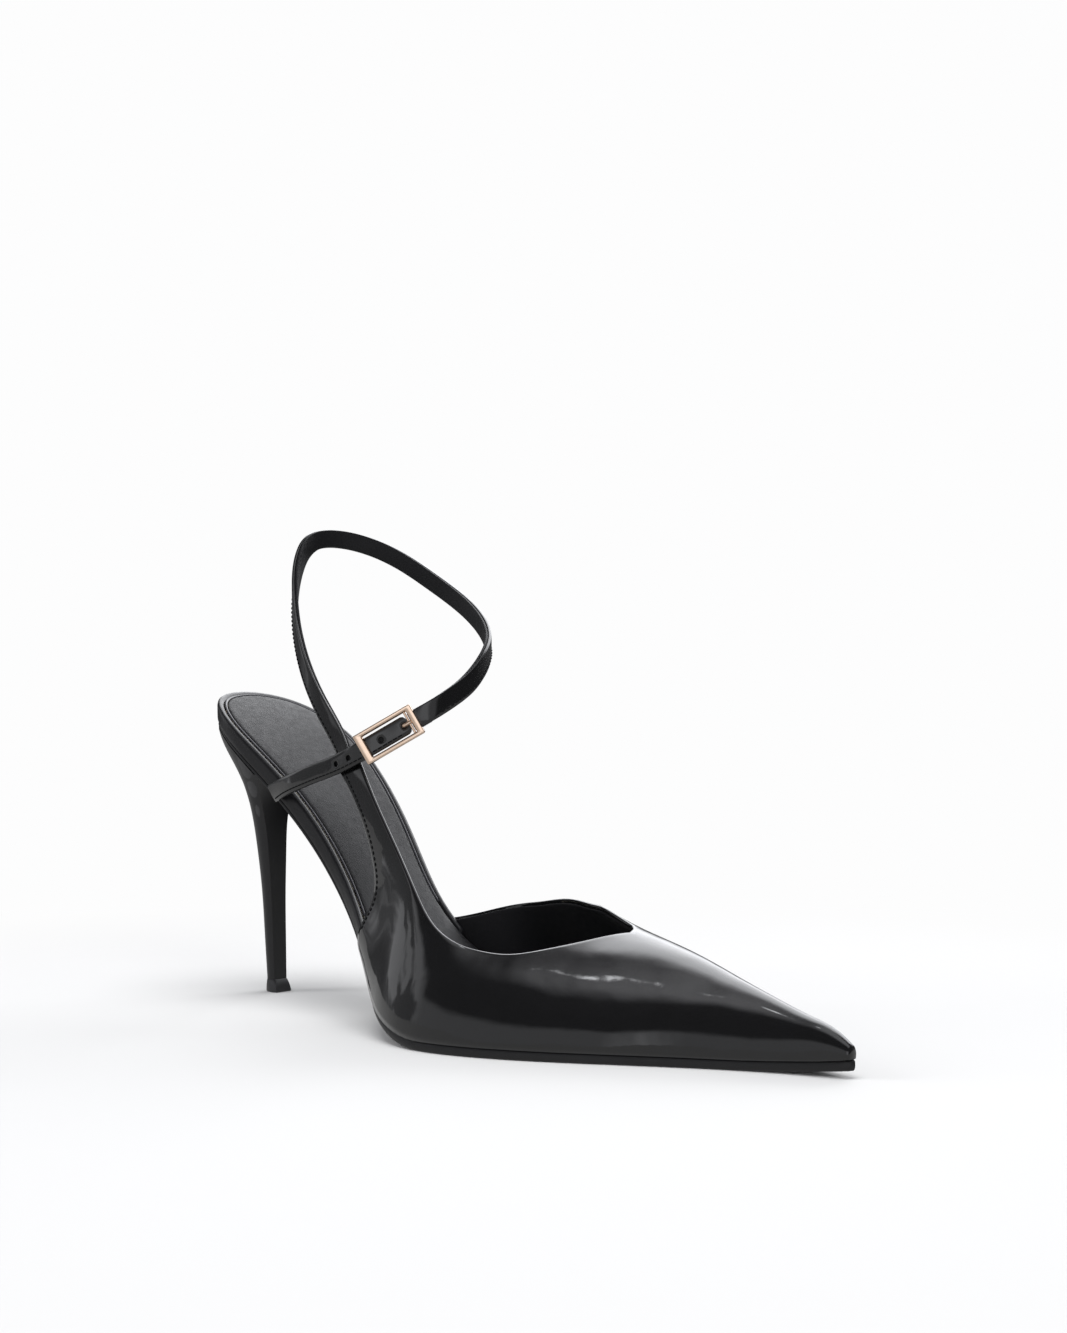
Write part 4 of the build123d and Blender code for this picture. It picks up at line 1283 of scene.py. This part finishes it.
def strap_stitches():
    """Rows along the lower edges of the straps."""
    made = []
    w = -(STRAP_WIDTH / 2 - 0.95)
    _, out, wide = STRAP_AXES
    n = STRAP_LAYER + 0.16
    row = STRAP + out * n + wide * w
    for name, part in (("ankle_strap_stitches", slice(6, SPLIT + 1)),
                       ("strap_end_stitches", slice(SPLIT, -10))):
        made.append(stitches(name, row[part], out[part], 1.75))
    s = np.linspace(1.5, ANCHOR_S[-1] - 2.5, 160)
    path, _, out, wide = anchor_axes(s)
    made.append(stitches("anchor_strap_stitches", path + wide * w + out * n, out, 1.75))
    return made


def panel_stitches():
    grid = reshare(OUTER_BORDERS, np.ones(len(OUTER_BORDERS[0])))
    normals = grid_normals(grid)
    row, normal = [], []
    for i in range(2, 36):
        length = arc_length(grid[i])
        row.append([np.interp(1.5, length, grid[i, :, k]) for k in range(3)])
        normal.append(normals[i, 2])
    return stitches("panel_stitches", np.array(row), np.array(normal), 1.75)


# ---- assembly ---------------------------------------------------------------------------------
finish_piece(make_outsole(), "root", "sole_leather", "outsole")
finish_piece(make_rim(), "root", "satin_leather", "insole_rim_wrap")
finish_piece(make_piping(), "root", "edge_cord", "sock_piping")
finish_piece(make_sock(), "root", "sock_leather", "sock_lining")
finish_piece(make_heel(), "root", "satin_leather", "heel_cover")
finish_piece(make_tip(), "root", "tip_plastic", "top_piece")
finish_piece(make_upper("vamp_patent", PATENT, lambda x: 0 * x,
                        lambda x: UPPER_THICK - stiffener_room(x), 0.0),
             "root", "patent_leather", "vamp")
finish_piece(make_upper("vamp_lining_leather", LINING, lambda x: UPPER_THICK + 0.02 + 0 * x,
                        lambda x: UPPER_THICK + LINING_THICK + 0 * x, 0.8),
             "root", "lining_leather", "vamp_lining")
finish_piece(make_upper("toe_stiffener", STIFF, lambda x: UPPER_THICK - PUFF_THICK + 0.02 + 0 * x,
                        lambda x: UPPER_THICK - 0.01 + 0 * x, 0.0, PUFF_START),
             "root", "stiffener", "toe_puff")
loop_outer, loop_inner, end_outer, end_inner = make_ankle_straps()
finish_piece(loop_outer, "root", "patent_leather")
finish_piece(loop_inner, "root", "lining_leather")
for obj, slot_name in ((end_outer, "patent_leather"), (end_inner, "lining_leather")):
    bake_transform(obj)
finish_piece(make_fold(), "strap_end", "patent_leather")
finish_piece(make_anchor("anchor_strap_patent", 0.0, STRAP_LAYER, STRAP_WIDTH, 0.9, PATENT, 0.16), "root",
             "patent_leather", "anchor_strap")
finish_piece(make_anchor("anchor_strap_backing", -STRAP_LAYER, -0.02, STRAP_WIDTH - 0.25, 0.95, LINING, 0.0),
             "root", "lining_leather", "anchor_strap_lining")
finish_piece(make_buckle(), "buckle", "rose_gold", "buckle_frame")
finish_piece(make_prong(), "prong", "rose_gold", "buckle_prong")
loop_row, end_row, anchor_row = strap_stitches()
finish_piece(loop_row, "root", "patent_leather")
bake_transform(end_row)
finish_piece(anchor_row, "root", "patent_leather")
finish_piece(panel_stitches(), "root", "patent_leather")


# ---- stage --------------------------------------------------------------------------------------
BACKDROP = (0.982, 0.982, 0.984)
FLOOR_TONE = 0.445


def make_floor():
    """Pale floor that fades into the backdrop away from the shoe; gloss sees it as a dim plane."""
    size, n = 3.0, 24
    verts = [((i / n - 0.5) * size, (j / n - 0.5) * size, 0.0) for j in range(n + 1) for i in range(n + 1)]
    faces = [(j * (n + 1) + i, j * (n + 1) + i + 1, (j + 1) * (n + 1) + i + 1, (j + 1) * (n + 1) + i)
             for j in range(n) for i in range(n)]
    mesh = bpy.data.meshes.new("floor")
    mesh.from_pydata(verts, [], faces)
    obj = bpy.data.objects.new("floor", mesh)
    bpy.context.scene.collection.objects.link(obj)
    mat = bpy.data.materials.new("floor_pale")
    mat.use_nodes = True
    tree = mat.node_tree
    link = tree.links.new
    tree.nodes.clear()
    out = tree.nodes.new("ShaderNodeOutputMaterial")
    diffuse = tree.nodes.new("ShaderNodeBsdfDiffuse")
    diffuse.inputs["Color"].default_value = (FLOOR_TONE, FLOOR_TONE, FLOOR_TONE, 1)
    backdrop = tree.nodes.new("ShaderNodeEmission")
    backdrop.inputs["Color"].default_value = (*BACKDROP, 1)
    mirrored = tree.nodes.new("ShaderNodeEmission")
    mirrored.inputs["Color"].default_value = (FLOOR_MIRRORED, FLOOR_MIRRORED, FLOOR_MIRRORED, 1)
    coord = tree.nodes.new("ShaderNodeTexCoord")
    place = tree.nodes.new("ShaderNodeVectorMath")
    place.operation = "DISTANCE"
    place.inputs[1].default_value = tuple(to_frame((120, -10, 0)))
    link(coord.outputs["Object"], place.inputs[0])
    path = tree.nodes.new("ShaderNodeLightPath")
    far = math_node(tree, "MULTIPLY", soft_step(tree, place.outputs["Value"], 0.14, 0.42),
                    path.outputs["Is Camera Ray"])
    fade = tree.nodes.new("ShaderNodeMixShader")
    mix = tree.nodes.new("ShaderNodeMixShader")
    link(far, fade.inputs["Fac"])
    link(diffuse.outputs[0], fade.inputs[1])
    link(backdrop.outputs[0], fade.inputs[2])
    link(path.outputs["Is Glossy Ray"], mix.inputs["Fac"])
    link(fade.outputs[0], mix.inputs[1])
    link(mirrored.outputs[0], mix.inputs[2])
    link(mix.outputs[0], out.inputs["Surface"])
    mesh.materials.append(mat)
    return obj


def area_light(name, place, target, size, size_y, power):
    data = bpy.data.lights.new(name, "AREA")
    data.shape = "RECTANGLE"
    data.size, data.size_y = size, size_y
    data.energy = power
    obj = bpy.data.objects.new(name, data)
    obj.location = place
    obj.rotation_euler = (Vector(target) - Vector(place)).to_track_quat("-Z", "Y").to_euler()
    obj.visible_glossy = False
    bpy.context.scene.collection.objects.link(obj)
    return obj


def math_node(tree, operation, a, b=None):
    n = tree.nodes.new("ShaderNodeMath")
    n.operation = operation
    for socket, value in zip(n.inputs, (a, b)):
        if isinstance(value, (int, float)):
            socket.default_value = value
        elif value is not None:
            tree.links.new(value, socket)
    return n.outputs[0]


def soft_step(tree, value, start, end):
    """0 before start, 1 after end, smooth between; start may be the larger one."""
    n = tree.nodes.new("ShaderNodeMapRange")
    n.interpolation_type = "SMOOTHSTEP"
    low, high = (start, end) if start < end else (end, start)
    n.inputs["From Min"].default_value = low
    n.inputs["From Max"].default_value = high
    n.inputs["To Min"].default_value = 0.0 if start < end else 1.0
    n.inputs["To Max"].default_value = 1.0 if start < end else 0.0
    tree.links.new(value, n.inputs["Value"])
    return n.outputs["Result"]


def window(tree, value, low, high, soft):
    rise = soft_step(tree, value, low - soft, low + soft)
    fall = soft_step(tree, value, high + soft, high - soft)
    return math_node(tree, "MULTIPLY", rise, fall)


# Soft boxes that only mirror-like surfaces see.  Wall cards: azimuth and elevation ranges in
# degrees, edge softness, radiance.  Ceiling cards: x/z and y/z ranges instead.
wall_cards = [((-132, -20), (-5, 22), 5, 0.42), ((-64, -40), (-5, 20), 6, 0.6),
              ((-176, -132), (-14, 44), 5, 0.75), ((72, 150), (16, 70), 9, 3.2)]
ceiling_cards = [((-0.14, 0.9), (-0.36, 0.32), 0.16, 1.0), ((-0.115, -0.075), (-0.15, -0.10), 0.022, 7.0)]
PATCHY_WALL = wall_cards[2][0]     # broken up by darker patches
DARK_ROOM = 0.09
FLOOR_MIRRORED = 0.45


def studio_reflection(tree):
    """Radiance of the studio as a gloss surface mirrors it, by direction."""
    coord = tree.nodes.new("ShaderNodeTexCoord")
    split = tree.nodes.new("ShaderNodeSeparateXYZ")
    tree.links.new(coord.outputs["Generated"], split.inputs[0])
    x, y, z = split.outputs
    to_degrees = 180 / math.pi
    azimuth = math_node(tree, "MULTIPLY", math_node(tree, "ARCTAN2", y, x), to_degrees)
    elevation = math_node(tree, "MULTIPLY", math_node(tree, "ARCSINE", z), to_degrees)
    up = math_node(tree, "MAXIMUM", z, 0.05)
    over_x, over_y = math_node(tree, "DIVIDE", x, up), math_node(tree, "DIVIDE", y, up)
    clouds = tree.nodes.new("ShaderNodeMapping")
    clouds.inputs["Scale"].default_value = (1, 1, 0.45)
    tree.links.new(coord.outputs["Generated"], clouds.inputs["Vector"])
    patches = ramp(tree, noise(tree, clouds.outputs["Vector"], 5.5, 2.0, 0.5), 0.44, 0.54, 0.18, 1.0)
    total = None
    for ranges, axes in ((wall_cards, (azimuth, elevation)), (ceiling_cards, (over_x, over_y))):
        for first, second, soft, radiance in ranges:
            mask = math_node(tree, "MULTIPLY", window(tree, axes[0], *first, soft),
                             window(tree, axes[1], *second, soft))
            card = math_node(tree, "MULTIPLY", mask, radiance)
            if first == PATCHY_WALL:
                card = math_node(tree, "MULTIPLY", card, patches)
            total = card if total is None else math_node(tree, "ADD", total, card)
    return math_node(tree, "ADD", total, DARK_ROOM)


def make_world():
    """White backdrop for the camera, white fill for matt surfaces, soft boxes for gloss."""
    world = bpy.data.worlds.new("studio")
    bpy.context.scene.world = world
    world.use_nodes = True
    world.cycles.sampling_method = "NONE"
    tree = world.node_tree
    tree.nodes.clear()
    out = tree.nodes.new("ShaderNodeOutputWorld")
    seen = tree.nodes.new("ShaderNodeBackground")
    seen.inputs["Color"].default_value = (*BACKDROP, 1)
    fill = tree.nodes.new("ShaderNodeBackground")
    fill.inputs["Color"].default_value = (0.95, 0.96, 1.0, 1)
    fill.inputs["Strength"].default_value = 0.8
    glossy = tree.nodes.new("ShaderNodeBackground")
    glossy.inputs["Color"].default_value = (0.96, 0.97, 1.0, 1)
    tree.links.new(studio_reflection(tree), glossy.inputs["Strength"])
    path = tree.nodes.new("ShaderNodeLightPath")
    a = tree.nodes.new("ShaderNodeMixShader")
    b = tree.nodes.new("ShaderNodeMixShader")
    tree.links.new(path.outputs["Is Glossy Ray"], a.inputs["Fac"])
    tree.links.new(fill.outputs[0], a.inputs[1])
    tree.links.new(glossy.outputs[0], a.inputs[2])
    tree.links.new(path.outputs["Is Camera Ray"], b.inputs["Fac"])
    tree.links.new(a.outputs[0], b.inputs[1])
    tree.links.new(seen.outputs[0], b.inputs[2])
    tree.links.new(b.outputs[0], out.inputs["Surface"])


CAMERA_AZIMUTH, CAMERA_RISE, CAMERA_REACH = math.radians(42.01), math.radians(3.76), 472.2
SHOE_MIDDLE = (125.0, 0, 50.0)
LENS_MM = 42.922661


def make_camera():
    """Low three-quarter camera on the outer side, with the shoe standing low in the frame."""
    azimuth, elevation, distance = CAMERA_AZIMUTH, CAMERA_RISE, CAMERA_REACH
    centre = np.array(SHOE_MIDDLE)
    back = np.array([math.sin(azimuth) * math.cos(elevation), -math.cos(azimuth) * math.cos(elevation),
                     math.sin(elevation)])
    data = bpy.data.cameras.new("camera")
    data.sensor_fit = "VERTICAL"
    data.sensor_height = 36.0
    data.lens = LENS_MM
    data.shift_x = 0.0132
    data.shift_y = 0.1457
    obj = bpy.data.objects.new("camera", data)
    obj.location = to_frame(centre + back * distance)
    obj.rotation_euler = Vector(tuple(-back)).to_track_quat("-Z", "Y").to_euler()
    bpy.context.scene.collection.objects.link(obj)
    bpy.context.scene.camera = obj


make_floor()
make_world()
middle = Vector(tuple(to_frame(SHOE_MIDDLE)))
area_light("key_above", middle + Vector((0.1, -0.1, 0.9)), middle, 0.7, 0.5, 9)
area_light("left_panel", middle + Vector((-0.75, -0.75, 0.35)), middle, 0.35, 0.8, 8)
area_light("right_panel", middle + Vector((1.0, -0.35, 0.3)), middle, 0.3, 0.7, 5)
area_light("back_panel", middle + Vector((-0.1, 0.9, 0.5)), middle, 0.9, 0.5, 8)
bpy.context.scene.view_settings.view_transform = "Standard"
make_camera()
